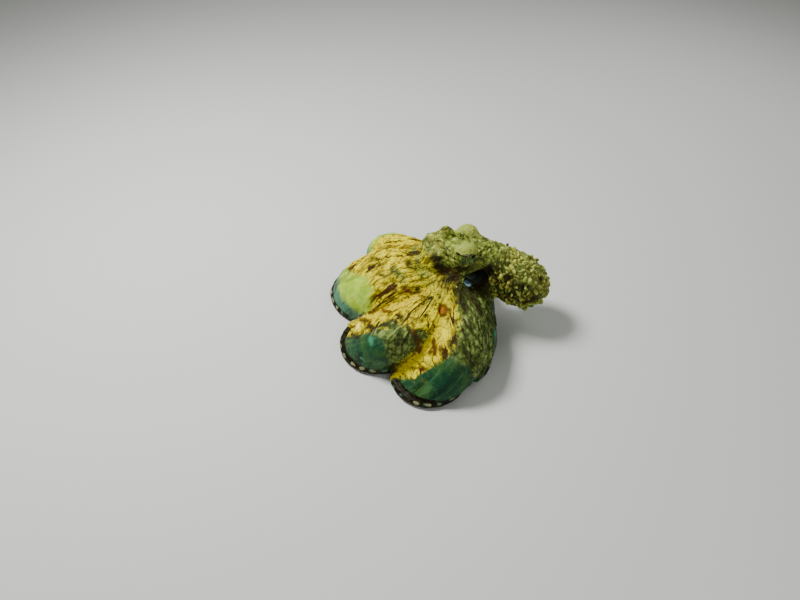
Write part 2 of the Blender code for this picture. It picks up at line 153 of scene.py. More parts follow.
class OctopusSettings(bpy.types.PropertyGroup):
    """Sizes and colours of the living skin."""

    skin_cell: FloatProperty(
        name="Skin cell", description="Size of the skin's finest cells", default=2.0 * MM,
        min=0.001, max=0.01, unit="LENGTH",
    )
    yellow: colour_property("Yellow", "Ground colour of the crown and the arms", "C8A60A")
    pale: colour_property("Pale yellow", "Brightest patches", "F0E000")
    brown: colour_property("Red-brown", "Streaks and bands", "3A1700")
    dark: colour_property("Dark brown", "Hem, notches and the spot below the eye", "0E0801")
    # the olive is partly the web's own colour and partly painted shade
    olive: colour_property("Olive", "Shaded folds of the web", "46561C")
    green: colour_property("Grey-green", "Mottled lower web", "7A9044")
    # the teal is partly the web's own colour and partly painted shade
    teal: colour_property("Teal", "Smooth stretched web", "13402A")


def settings():
    return bpy.context.scene.octopus


# ---------------------------------------------------------------- routes


def catmull_rom(points, per_span=SPAN):
    """A smooth run of points through the given ones."""
    ends = [2 * points[0] - points[1]] + points + [2 * points[-1] - points[-2]]
    smooth = []
    for a, b, c, d in zip(ends, ends[1:], ends[2:], ends[3:]):
        for i in range(per_span):
            t = i / per_span
            smooth.append(
                0.5 * (2 * b + (c - a) * t + (2 * a - 5 * b + 4 * c - d) * t**2)
                + 0.5 * (3 * b - a - 3 * c + d) * t**3
            )
    return smooth + [points[-1]]


def run_of(points):
    """The length run at each point."""
    run = [0.0]
    for a, b in zip(points, points[1:]):
        run.append(run[-1] + (b - a).length)
    return run


def point_at(points, run, length):
    i = min(max(int(np.searchsorted(run, length)), 1), len(points) - 1)
    return points[i - 1].lerp(points[i], (length - run[i - 1]) / (run[i] - run[i - 1]))


def arm_radius(share):
    base, tip = ARM_RADIUS
    return tip + (base - tip) * (1 - share) ** ARM_TAPER


def root_of(index):
    angle = FIRST_ARM + index * ARM_SPACING
    return CROWN_CENTRE + CROWN_RADIUS * Vector((math.cos(angle), math.sin(angle), 0))


def foot_of(index, height=0.0):
    x, y = ARMS[index % len(ARMS)].foot
    return Vector((x * MM, y * MM, height))


def hem_arc(start, end, swell, share):
    """A point on the level arc from start to end that swells out from the web's centre."""
    chord = end - start
    half = chord.length / 2
    radius = (half**2 + swell**2) / (2 * swell)
    outward = Vector((chord.y, -chord.x, 0)).normalized()
    middle = (start + end) / 2
    if outward.dot(middle - WEB_CENTRE) < 0:
        outward = -outward
    sweep = 2 * math.asin(min(1, half / radius))
    if swell > half:
        sweep = 2 * math.pi - sweep
    angle = (share - 0.5) * sweep
    centre = middle + outward * (swell - radius)
    point = centre + radius * (outward * math.cos(angle) + chord.normalized() * math.sin(angle))
    point.z = start.z + (end.z - start.z) * share
    return point


def hem_end(index, height):
    here, there = foot_of(index, height), foot_of(index + 1, height)
    return there + (here - there).normalized() * HEM_STOP


def arm_knots(index):
    """Knots of an arm's line: down to its foot, along the hem, in beneath the web and coiled up."""
    arm = ARMS[index]
    way_down = [Vector(point) * MM for point in (arm.bend, arm.shoulder, arm.knee)]
    foot, stop = foot_of(index, HEM_HEIGHT), hem_end(index, HEM_HEIGHT)
    hem = [hem_arc(foot, stop, arm.hem_swell * MM, share) for share in HEM_SHARES]
    next_foot = foot_of(index + 1)
    inward = (WEB_CENTRE - next_foot).normalized()
    sideways = Vector((-inward.y, inward.x, 0))
    if sideways.dot(foot_of(index + 2) - next_foot) < 0:
        sideways = -sideways
    tuck = next_foot + inward * TUCK_DEPTH
    hub = tuck + inward * COIL_RADIUS[0] + sideways * TIP_REACH
    tuck.z = TIP_HEIGHT
    start = math.atan2(-inward.y, -inward.x)
    coil = []
    for i in range(COIL_KNOTS):
        share = i / (COIL_KNOTS - 1)
        angle = start + share * COIL_TURNS * 2 * math.pi
        radius = COIL_RADIUS[0] + (COIL_RADIUS[1] - COIL_RADIUS[0]) * share
        coil.append(hub + Vector((radius * math.cos(angle), radius * math.sin(angle), TIP_HEIGHT)))
    return [root_of(index)] + way_down + [foot] + hem + [stop, tuck] + coil


def arm_line(index):
    line = catmull_rom(arm_knots(index))
    for _ in range(FOOT_ROUNDING):
        eased = [(a + 2 * b + c) / 4 for a, b, c in zip(line[:-2], line[1:-1], line[2:])]
        line[1 : TUCK_KNOT * SPAN] = eased[: TUCK_KNOT * SPAN - 1]
    return line


LINES = [arm_line(index) for index in range(len(ARMS))]
RUNS = [run_of(line) for line in LINES]


def web_hem(index, across):
    foot, stop = foot_of(index, HEM_HEIGHT), hem_end(index, HEM_HEIGHT)
    if across < HEM_SHARE:
        return hem_arc(foot, stop, ARMS[index].hem_swell * MM, across / HEM_SHARE)
    return stop.lerp(foot_of(index + 1, HEM_HEIGHT), (across - HEM_SHARE) / (1 - HEM_SHARE))


def descent(index, share):
    """The point of an arm at a share of the way from the crown to its foot."""
    last = FOOT_KNOT * SPAN
    return point_at(LINES[index], RUNS[index], share * RUNS[index][last])


def web_surface(index, across, down):
    """A point of the web between an arm and the next, blended between its four edges."""
    after = (index + 1) % len(ARMS)
    crown = root_of(index).lerp(root_of(after), across)
    hem_left, hem_right = foot_of(index, HEM_HEIGHT), foot_of(after, HEM_HEIGHT)
    sides = descent(index, down).lerp(descent(after, down), across)
    ends = crown.lerp(web_hem(index, across), down)
    base = sides + ends - crown.lerp(hem_left.lerp(hem_right, across), down)
    outward = (base - Vector(WEB_MIDDLE)).normalized()
    to_peak = math.log(0.5) / math.log(ARMS[index].fullest)
    fullness = math.sin(math.pi * across) ** 0.8 * math.sin(math.pi * down**to_peak) ** 0.9
    return base + outward * ARMS[index].web_swell * MM * fullness


# ---------------------------------------------------------------- meshes


def new_object(name, data, material=None):
    """An object in the scene that holds a mesh, curve, light or camera."""
    obj = bpy.data.objects.new(name, data)
    bpy.context.scene.collection.objects.link(obj)
    if material:
        data.materials.append(material)
    return obj


def mesh_of(bm, name):
    mesh = bpy.data.meshes.new(name)
    bm.to_mesh(mesh)
    bm.free()
    return mesh


def evaluated_mesh(obj):
    """A new mesh of what an object's modifiers, or a curve's thickness, make of it."""
    bpy.context.view_layer.update()
    graph = bpy.context.evaluated_depsgraph_get()
    return bpy.data.meshes.new_from_object(obj.evaluated_get(graph))


def mesh_alone(obj):
    """An object's evaluated mesh, with the object itself taken away."""
    mesh = evaluated_mesh(obj)
    bpy.data.objects.remove(obj)
    return mesh


def baked(obj):
    """The object with its modifiers made part of its mesh."""
    mesh = evaluated_mesh(obj)
    obj.modifiers.clear()
    obj.data = mesh
    return obj


def curve_tube(name, points, radii, sides=5):
    """A closed round tube along points, as a mesh."""
    curve = bpy.data.curves.new(name, "CURVE")
    curve.dimensions = "3D"
    curve.bevel_depth = 1
    curve.bevel_resolution = sides
    curve.use_fill_caps = True
    spline = curve.splines.new("POLY")
    spline.points.add(len(points) - 1)
    for knot, centre, radius in zip(spline.points, points, radii):
        knot.co = (*centre, 1)
        knot.radius = radius
    return mesh_alone(new_object(name, curve))


def add_ball(bm, centre, half_lengths):
    place = Matrix.Translation(centre) @ Matrix.Diagonal((*half_lengths, 1))
    bmesh.ops.create_uvsphere(bm, u_segments=32, v_segments=20, radius=1, matrix=place)


def mantle_girth(along):
    """Half the mantle's width at a place along it, from -1 at the neck to 1 at the tip."""
    return (1 + MANTLE_TIP_SWELL * along) * MANTLE_WIDTH / 2


def add_mantle(bm):
    sphere = bmesh.ops.create_uvsphere(bm, u_segments=40, v_segments=28, radius=1)["verts"]
    bmesh.ops.rotate(bm, verts=sphere, matrix=Matrix.Rotation(math.pi / 2, 3, "Y"))
    for vertex in sphere:
        along, across, up = vertex.co
        girth = mantle_girth(along)
        vertex.co = Vector((along * MANTLE_LENGTH / 2, across * girth, up * girth))
    bmesh.ops.transform(bm, matrix=Matrix.Translation(MANTLE_CENTRE) @ MANTLE_TURN, verts=sphere)


def web_mesh(index):
    bm = bmesh.new()
    bmesh.ops.create_grid(bm, x_segments=WEB_SAMPLES, y_segments=WEB_SAMPLES, size=0.5)
    for vertex in bm.verts:
        vertex.co = web_surface(index, vertex.co.x + 0.5, 0.5 - vertex.co.y)
    web = new_object("web", mesh_of(bm, "web"))
    wall = web.modifiers.new("wall", "SOLIDIFY")
    wall.thickness = WEB_THICKNESS
    wall.offset = 0
    return mesh_alone(web)


def fused_flesh(cell):
    """Head, mantle, arms and web as one closed surface."""
    bm = bmesh.new()
    for centre, half_lengths in HEAD_MASSES:
        add_ball(bm, Vector(centre) * MM, Vector(half_lengths) * MM)
    add_mantle(bm)
    for index, line in enumerate(LINES):
        run = RUNS[index]
        radii = [ARM_FIT * arm_radius(length / run[-1]) for length in run]
        centres = [Vector((p.x, p.y, max(p.z, r))) for p, r in zip(line, radii)]
        bm.from_mesh(curve_tube("arm", centres, radii))
        bm.from_mesh(web_mesh(index))
    bmesh.ops.recalc_face_normals(bm, faces=bm.faces)
    flesh = new_object("octopus_skin", mesh_of(bm, "octopus_skin"))
    fuse = flesh.modifiers.new("fuse", "REMESH")
    fuse.mode = "VOXEL"
    fuse.voxel_size = cell
    return baked(flesh)


def vertices_of(mesh):
    points = np.empty(len(mesh.vertices) * 3)
    mesh.vertices.foreach_get("co", points)
    return points.reshape(-1, 3)


def edges_of(mesh):
    ends = np.empty(len(mesh.edges) * 2, dtype=np.int64)
    mesh.edges.foreach_get("vertices", ends)
    return ends.reshape(-1, 2)


def set_vertices(mesh, points):
    mesh.vertices.foreach_set("co", points.astype(np.float32).ravel())
    mesh.update()


def smoothed(points, edges, weight, passes):
    """Points eased towards the middle of their neighbours, each by its own weight."""
    count = len(points)
    a, b = edges[:, 0], edges[:, 1]
    degree = np.bincount(a, minlength=count) + np.bincount(b, minlength=count)
    for _ in range(passes):
        middle = np.empty_like(points)
        for axis in range(3):
            total = np.bincount(a, points[b, axis], count) + np.bincount(b, points[a, axis], count)
            middle[:, axis] = total / degree
        points = points + (middle - points) * weight[:, None]
    return points


def smoothstep(low, high, value):
    t = np.clip((value - low) / (high - low), 0, 1)
    return t * t * (3 - 2 * t)


def nearest_samples(points, samples):
    tree = kdtree.KDTree(len(samples))
    for i, sample in enumerate(samples):
        tree.insert(sample, i)
    tree.balance()
    found = np.empty(len(points), dtype=np.int64)
    for i, point in enumerate(points):
        found[i] = tree.find(point)[1]
    return found


# ---------------------------------------------------------------- places on the body


def unit(vectors):
    return vectors / np.maximum(np.linalg.norm(vectors, axis=-1, keepdims=True), 1e-9)


class ArmPlaces:
    """Where points lie on the arms: which arm, how far along, how far out and on which side."""

    def __init__(self, points):
        lines = [np.array(line) for line in LINES]
        centres = np.concatenate(lines)
        along = np.concatenate([unit(np.gradient(line, axis=0)) for line in lines])
        outward = unit(centres - WEB_MIDDLE)
        outward = unit(outward - along * (outward * along).sum(1, keepdims=True))
        beside = np.cross(along, outward)
        arm = np.concatenate([np.full(len(line), i) for i, line in enumerate(lines)])
        run = np.concatenate(RUNS)
        share = np.concatenate([np.array(r) / r[-1] for r in RUNS])
        near = nearest_samples(points, centres)
        offset = points - centres[near]
        ahead = (offset * along[near]).sum(1)
        self.arm = arm[near]
        self.run = run[near] + ahead
        self.radius = arm_radius(np.clip(share, 0, 1))[near]
        out, side = (offset * outward[near]).sum(1), (offset * beside[near]).sum(1)
        self.distance = np.hypot(out, side)
        self.side = side
        self.round = np.arctan2(side, out)
        self.foot_run = np.array([r[FOOT_KNOT * SPAN] for r in RUNS])[self.arm]


class WebPlaces:
    """Where points lie on the web: which panel, how far across and how far down."""

    cells = 28

    def __init__(self, points):
        grid = np.linspace(0, 1, self.cells + 1)
        panels = np.array(
            [[[web_surface(i, u, v) for v in grid] for u in grid] for i in range(len(ARMS))]
        )
        by_across = np.gradient(panels, grid, axis=1).reshape(-1, 3)
        by_down = np.gradient(panels, grid, axis=2).reshape(-1, 3)
        samples = panels.reshape(-1, 3)
        near = nearest_samples(points, samples)
        offset = points - samples[near]
        a, b = by_across[near], by_down[near]
        aa, ab, bb = (a * a).sum(1), (a * b).sum(1), (b * b).sum(1)
        oa, ob = (offset * a).sum(1), (offset * b).sum(1)
        determinant = np.maximum(aa * bb - ab * ab, 1e-12)
        step = 0.75 / self.cells
        step_across = np.clip((oa * bb - ob * ab) / determinant, -step, step)
        step_down = np.clip((ob * aa - oa * ab) / determinant, -step, step)
        self.panel, cell = np.divmod(near, (self.cells + 1) ** 2)
        row, column = np.divmod(cell, self.cells + 1)
        self.across = grid[row] + step_across
        self.down = grid[column] + step_down
        self.distance = np.linalg.norm(offset, axis=1)
        outward = unit(np.cross(by_across, by_down))[near]
        facing = np.sign((outward * (samples[near] - WEB_MIDDLE)).sum(1))
        self.outward = outward * facing[:, None]
        self.outside = (self.outward * offset).sum(1)
        # folds run together at the next arm's foot
        self.fold = np.arctan2(1 - self.across, np.maximum(1 - self.down, 1e-6)) / (math.pi / 2)
        self.reach = np.hypot(1 - self.across, 1 - self.down)


def depth_in_masses(points, masses):
    """The least share of its half-lengths at which a point lies from any of the masses' centres."""
    least = np.full(len(points), 9.0)
    for centre, half_lengths in masses:
        spread = (points - np.array(centre) * MM) / (np.array(half_lengths) * MM)
        least = np.minimum(least, np.linalg.norm(spread, axis=1))
    return least


def mantle_place(points):
    """Points in the mantle's own frame: along, across and up as shares of its half-lengths."""
    inverse = np.array((Matrix.Translation(MANTLE_CENTRE) @ MANTLE_TURN).inverted())
    local = points @ inverse[:3, :3].T + inverse[:3, 3]
    along = local[:, 0] / (MANTLE_LENGTH / 2)
    girth = mantle_girth(np.clip(along, -1, 1))
    return np.stack([along, local[:, 1] / girth, local[:, 2] / girth], axis=1)


def noise_at(points, size, seed=0.0):
    """Smooth noise from -1 to 1 whose lumps are about so large."""
    place = points / size + (seed, seed * 1.7, seed * 2.3)
    return np.array([noise.noise(p, noise_basis="PERLIN_ORIGINAL") for p in place])


def cleft_distance(places):
    """How far each place lies from the nearest cleft between cells of unit size."""
    found = np.empty(len(places))
    for i, place in enumerate(places):
        distances = noise.voronoi(place)[0]
        found[i] = distances[1] - distances[0]
    return found


def cell_bumps(points, size, seed=0.0):
    """Rounded bumps packed side by side: 1 at each middle and 0 in the clefts between."""
    place = points / size + (seed, seed, seed)
    broad_sway = 0.45 * np.sin(place[:, [1, 2, 0]] * 1.9)
    place = place + broad_sway + 0.2 * np.sin(place[:, [2, 0, 1]] * 4.3)
    return np.clip(cleft_distance(place) / 0.6, 0, 1)


# ---------------------------------------------------------------- skin

# Shares of the half-lengths of head and mantle over which each gives way to web.
HEAD_REACH = (1.0, 1.32)
MANTLE_REACH = (1.02, 1.2)
EYE_AXES = {"left": Vector((0.22, -1, -0.02)), "right": Vector((0.10, 1, -0.02))}
BROW = (Vector((-42, 20, 168)) * MM, Vector((18, 9, 10)) * MM)
# Sizes of the forms that the skin is sculpted with, from the web's waves to the lids' wrinkles.
WAVE_SIZE = 0.018
LUMP_SIZE = 0.013
CLUMP_SIZE = 0.0115
KNOB_SIZE = 0.0055
PEBBLE_SIZE = 0.0046
WRINKLE_SIZE = 0.0022
FOLD_DEPTH = 1.6 * MM
CLEFT_DEPTH = 1.5 * MM
# Heights of the skin's lumps, knobs and clumps of warts.
MANTLE_RELIEF = (2.0 * MM, 1.2 * MM, 5.0 * MM)
HEAD_RELIEF = (1.4 * MM, 0.9 * MM, 1.7 * MM)
CLUMP_LEVEL = 0.6  # share of a clump's height at which the skin neither rises nor sinks
HOLLOW_DEPTH = 16 * MM
HOLLOW_TARGET = np.array(MANTLE_CENTRE) * 0.3 + np.array((10, 0, 118)) * MM * 0.7
LOWEST = 0.00005  # just above the floor
LID_HALF_WIDTH = math.radians(60)
LID_HALF_HEIGHT = math.radians(23)
LID_THICKNESS = 0.9 * MM
LID_RIDGE = 0.8 * MM
LID_RIDGE_WIDTH = math.radians(7)
EYE_REGION = 17 * MM
SOCKET_DEPTH = 2.2 * MM  # how far inside the eyeball's surface the skin ends between the lids
# The smooth skin over each eye: its middle and half-lengths.
EYE_DOMES = {
    "left": (Vector((-5, -22, 163)) * MM, Vector((21, 17, 13)) * MM),
    "right": (Vector((4, 20, 170)) * MM, Vector((22, 17, 17)) * MM),
}


def dome_spread(points, side):
    """Distance from the middle of an eye's dome in shares of its size. It narrows forwards."""
    centre, size = EYE_DOMES[side]
    spread = (points - np.array(centre)) / np.array(size)
    spread[:, 1:] *= 1 + 0.9 * np.clip(-spread[:, :1], 0, 1.3)
    return np.linalg.norm(spread * (0.9, 1, 1), axis=1)


def eye_angles(points, side):
    """Distance from an eye's middle, with the angles round and above its line of sight."""
    ahead = np.array(EYE_AXES[side].normalized())
    across = unit(np.cross((0, 0, 1), ahead))
    above = np.cross(ahead, across)
    offset = points - np.array(EYE_CENTRES[side])
    distance = np.linalg.norm(offset, axis=1)
    spread = unit(offset)
    round_angle = np.arctan2(spread @ across, spread @ ahead)
    lift = np.arcsin(np.clip(spread @ above, -1, 1))
    return distance, round_angle, lift


def lid_opening(round_angle, lift):
    """How far inside the slit between the lids, as an angle; less than nothing outside it."""
    return LID_HALF_HEIGHT * (1 - (round_angle / LID_HALF_WIDTH) ** 2) - np.abs(lift)


def refine_near_eyes(flesh, times=2):
    """Splits the skin's cells around the eyes, so that the lids have fine edges."""
    bm = bmesh.new()
    bm.from_mesh(flesh.data)
    for turn in range(times):
        reach = EYE_REGION * (1 - 0.12 * turn)
        chosen = []
        for edge in bm.edges:
            middle = (edge.verts[0].co + edge.verts[1].co) / 2
            for side, centre in EYE_CENTRES.items():
                near = middle - centre
                if near.length < reach and near.dot(EYE_AXES[side]) > 0:
                    chosen.append(edge)
                    break
        bmesh.ops.subdivide_edges(bm, edges=chosen, cuts=1, use_grid_fill=True)
    bmesh.ops.triangulate(bm, faces=[f for f in bm.faces if len(f.verts) > 4])
    bm.to_mesh(flesh.data)
    bm.free()


def vertex_normals(mesh):
    normals = np.empty(len(mesh.vertices) * 3, dtype=np.float32)
    mesh.vertices.foreach_get("normal", normals)
    return normals.reshape(-1, 3).astype(float)


def ridged(value):
    """Sharp-edged creases out of smooth noise: 1 in the crease."""
    return 1 - np.minimum(np.abs(value) * 3.2, 1)


def eased(points, edges):
    """The fused masses run into one another: most about the crown, and hardly where they rest."""
    resting = smoothstep(0.03, 0.012, points[:, 2])
    in_crown = 1 - smoothstep(1.0, 1.5, depth_in_masses(points, HEAD_MASSES))
    points = smoothed(points, edges, 0.5 * (1 - 0.9 * resting), 14)
    return smoothed(points, edges, 0.5 * in_crown, 24)


def relief_of(mesh, points):
    """How far each point stands out: folds of the web, and lumps and warts of head and mantle."""
    webs = WebPlaces(points)
    head = depth_in_masses(points, HEAD_MASSES)
    mantle = np.linalg.norm(mantle_place(points), axis=1)
    on_head = 1 - smoothstep(*HEAD_REACH, head)
    on_mantle = 1 - smoothstep(*MANTLE_REACH, mantle)
    outer = smoothstep(-0.0005, 0.001, webs.outside)
    on_web = (1 - on_head) * (1 - on_mantle) * outer
    move = np.zeros(len(points))

    folds = noise_at(np.stack([webs.fold * 11, webs.reach * 1.1, webs.panel * 7.7], 1), 1.0)
    taut = web_tautness(webs)
    crease = on_web * (1 - 0.75 * taut) * smoothstep(0.02, 0.12, webs.reach)
    cleft = 1 - smoothstep(0.0, 0.38, pleats(webs))
    move -= crease * (FOLD_DEPTH * ridged(folds) + CLEFT_DEPTH * cleft)
    move += on_web * 0.8 * MM * noise_at(points, WAVE_SIZE, 2)

    lumps = noise_at(points, LUMP_SIZE, 3)
    knobs = noise_at(points, KNOB_SIZE, 4)
    clumps = cell_bumps(points, CLUMP_SIZE, 9)
    bumpy = 0.35 + 0.65 * smoothstep(-0.95, -0.5, mantle_place(points)[:, 2])
    for share, (lump, knob, clump) in ((on_mantle * bumpy, MANTLE_RELIEF), (on_head, HEAD_RELIEF)):
        move += share * (lump * lumps + knob * knobs + clump * (clumps - CLUMP_LEVEL))
    pebbles = cell_bumps(points, PEBBLE_SIZE, 6)
    store(mesh, "relief", np.stack([clumps, pebbles, cleft], 1))
    rough = np.clip(on_mantle + on_head + on_web * (1 - taut) * 0.8, 0, 1)
    smooth_dome = np.zeros(len(points))
    for side in EYE_CENTRES:
        smooth_dome = np.maximum(smooth_dome, 1 - smoothstep(0.8, 1.2, dome_spread(points, side)))
    smooth_dome = np.maximum(smooth_dome, 0.8 * np.exp(-(spread_from(points, *BROW) ** 2)))
    move *= 1 - 0.9 * smooth_dome
    move += rough * (1 - 0.95 * smooth_dome) * 0.8 * MM * (pebbles - 0.5)
    drawn_out = np.stack([points[:, 0] / 4, points[:, 1] / 1.6, points[:, 2]], 1)
    wrinkles = noise_at(drawn_out, WRINKLE_SIZE, 8)
    return move + smooth_dome * 0.45 * MM * wrinkles


def with_lids(points):
    """The skin drawn over each eyeball as two thick lids, with a slit that opens on the ball."""
    for side, centre in EYE_CENTRES.items():
        distance, round_angle, lift = eye_angles(points, side)
        inside = lid_opening(round_angle, lift)
        aside = np.maximum(np.abs(round_angle), np.abs(lift))
        facing = 1 - smoothstep(math.radians(72), math.radians(88), aside)
        near = facing * (distance < EYE_REGION)
        covered = np.maximum(distance, EYE_RADIUS + LID_THICKNESS)
        covered += LID_RIDGE * np.exp(-((inside / LID_RIDGE_WIDTH) ** 2)) * near
        target = covered + (EYE_RADIUS - SOCKET_DEPTH - covered) * smoothstep(-0.01, 0.035, inside)
        reached = distance + (target - distance) * near
        middle = np.array(centre)
        points = middle + (points - middle) * (reached / np.maximum(distance, 1e-6))[:, None]
    return points


def with_opening(points, edges):
    """The opening of the mantle, where its edge stands away from the neck."""
    depth = spread_from(points, APERTURE_CENTRE, APERTURE_SIZE)
    pressed = np.clip(1 - depth, 0, 1)
    points = points + unit(HOLLOW_TARGET - points) * (pressed * HOLLOW_DEPTH)[:, None]
    points[:, 2] = np.maximum(points[:, 2], LOWEST)
    return smoothed(points, edges, 0.5 * (1 - smoothstep(0.9, 1.3, depth)), 6)


def sculpt(flesh):
    """Eases the masses into one another and carves folds, lumps, lids and the mantle's opening."""
    mesh = flesh.data
    edges = edges_of(mesh)
    points = eased(vertices_of(mesh), edges)
    set_vertices(mesh, points)
    move = relief_of(mesh, points)
    points = with_lids(points + vertex_normals(mesh) * move[:, None])
    set_vertices(mesh, with_opening(points, edges))


# Where a panel of web turns smooth: shares across it, and how far down the edge lies at each.
TAUT_EDGES = {
    3: ((0, 0.12, 0.24, 0.36, 0.46, 0.56, 0.7, 0.95), (1.0, 0.92, 0.76, 0.68, 0.6, 0.5, 0.5, 0.72)),
    4: ((0, 0.18, 0.28, 0.42, 0.55, 0.68, 0.9), (1.1, 0.96, 0.64, 0.57, 0.61, 0.73, 0.95)),
    5: ((0, 0.12, 0.2, 0.3, 0.5, 0.7, 1), (1.0, 0.85, 0.62, 0.52, 0.6, 0.8, 0.95)),
}
USUAL_TAUT_EDGE = ((0, 0.5, 1), (0.5, 0.55, 0.85))
# panels painted as if in sunlight
SUNLIT_PANELS = (2, 3)
NEAR_WEB = 0.02  # within this distance of the web's middle layer, skin is taken to be web


def web_tautness(webs):
    """1 where the web is blown out smooth towards its hem, 0 where it gathers in folds."""
    edge = np.interp(webs.across, *USUAL_TAUT_EDGE)
    for panel, stations in TAUT_EDGES.items():
        edge = np.where(webs.panel == panel, np.interp(webs.across, *stations), edge)
    return smoothstep(edge - 0.05, edge + 0.07, webs.down)


def pleats(webs):
    """The folds of the web, which run together at the next foot: 0 in the clefts between them."""
    place = np.stack([webs.fold * 21, webs.reach * 10, webs.panel * 5.0], 1)
    return cleft_distance(place + 0.35 * np.sin(place[:, [1, 0, 2]] * 1.7))


def thin_hidden(flesh, target):
    """Fewer cells beneath the web, where only its underside faces the floor."""
    mesh = flesh.data
    points = vertices_of(mesh)
    webs = WebPlaces(points)
    hidden = (webs.outside < 0) & (depth_in_masses(points, HEAD_MASSES) > 1.1)
    hidden &= np.linalg.norm(mantle_place(points), axis=1) > 1.1
    near_web = webs.distance < NEAR_WEB
    hidden &= near_web
    smooth = (web_tautness(webs) > 0.5) & (webs.outside > 0) & near_web
    group = flesh.vertex_groups.new(name="hidden")
    group.add([int(i) for i in np.nonzero(hidden)[0]], 1.0, "REPLACE")
    group.add([int(i) for i in np.nonzero(smooth & ~hidden)[0]], 0.4, "REPLACE")
    thin = flesh.modifiers.new("thin", "DECIMATE")
    thin.vertex_group = "hidden"
    triangles = sum(len(p.vertices) - 2 for p in mesh.polygons)
    thin.ratio = min(1.0, target / triangles)
    baked(flesh)
    flesh.vertex_groups.clear()


def store(mesh, name, values):
    """A vertex attribute: three numbers a vertex."""
    attribute = mesh.attributes.new(name, "FLOAT_VECTOR", "POINT")
    attribute.data.foreach_set("vector", np.asarray(values, dtype=np.float32).ravel())


def web_point(panel, across, down):
    return np.array(web_surface(panel, across, down))


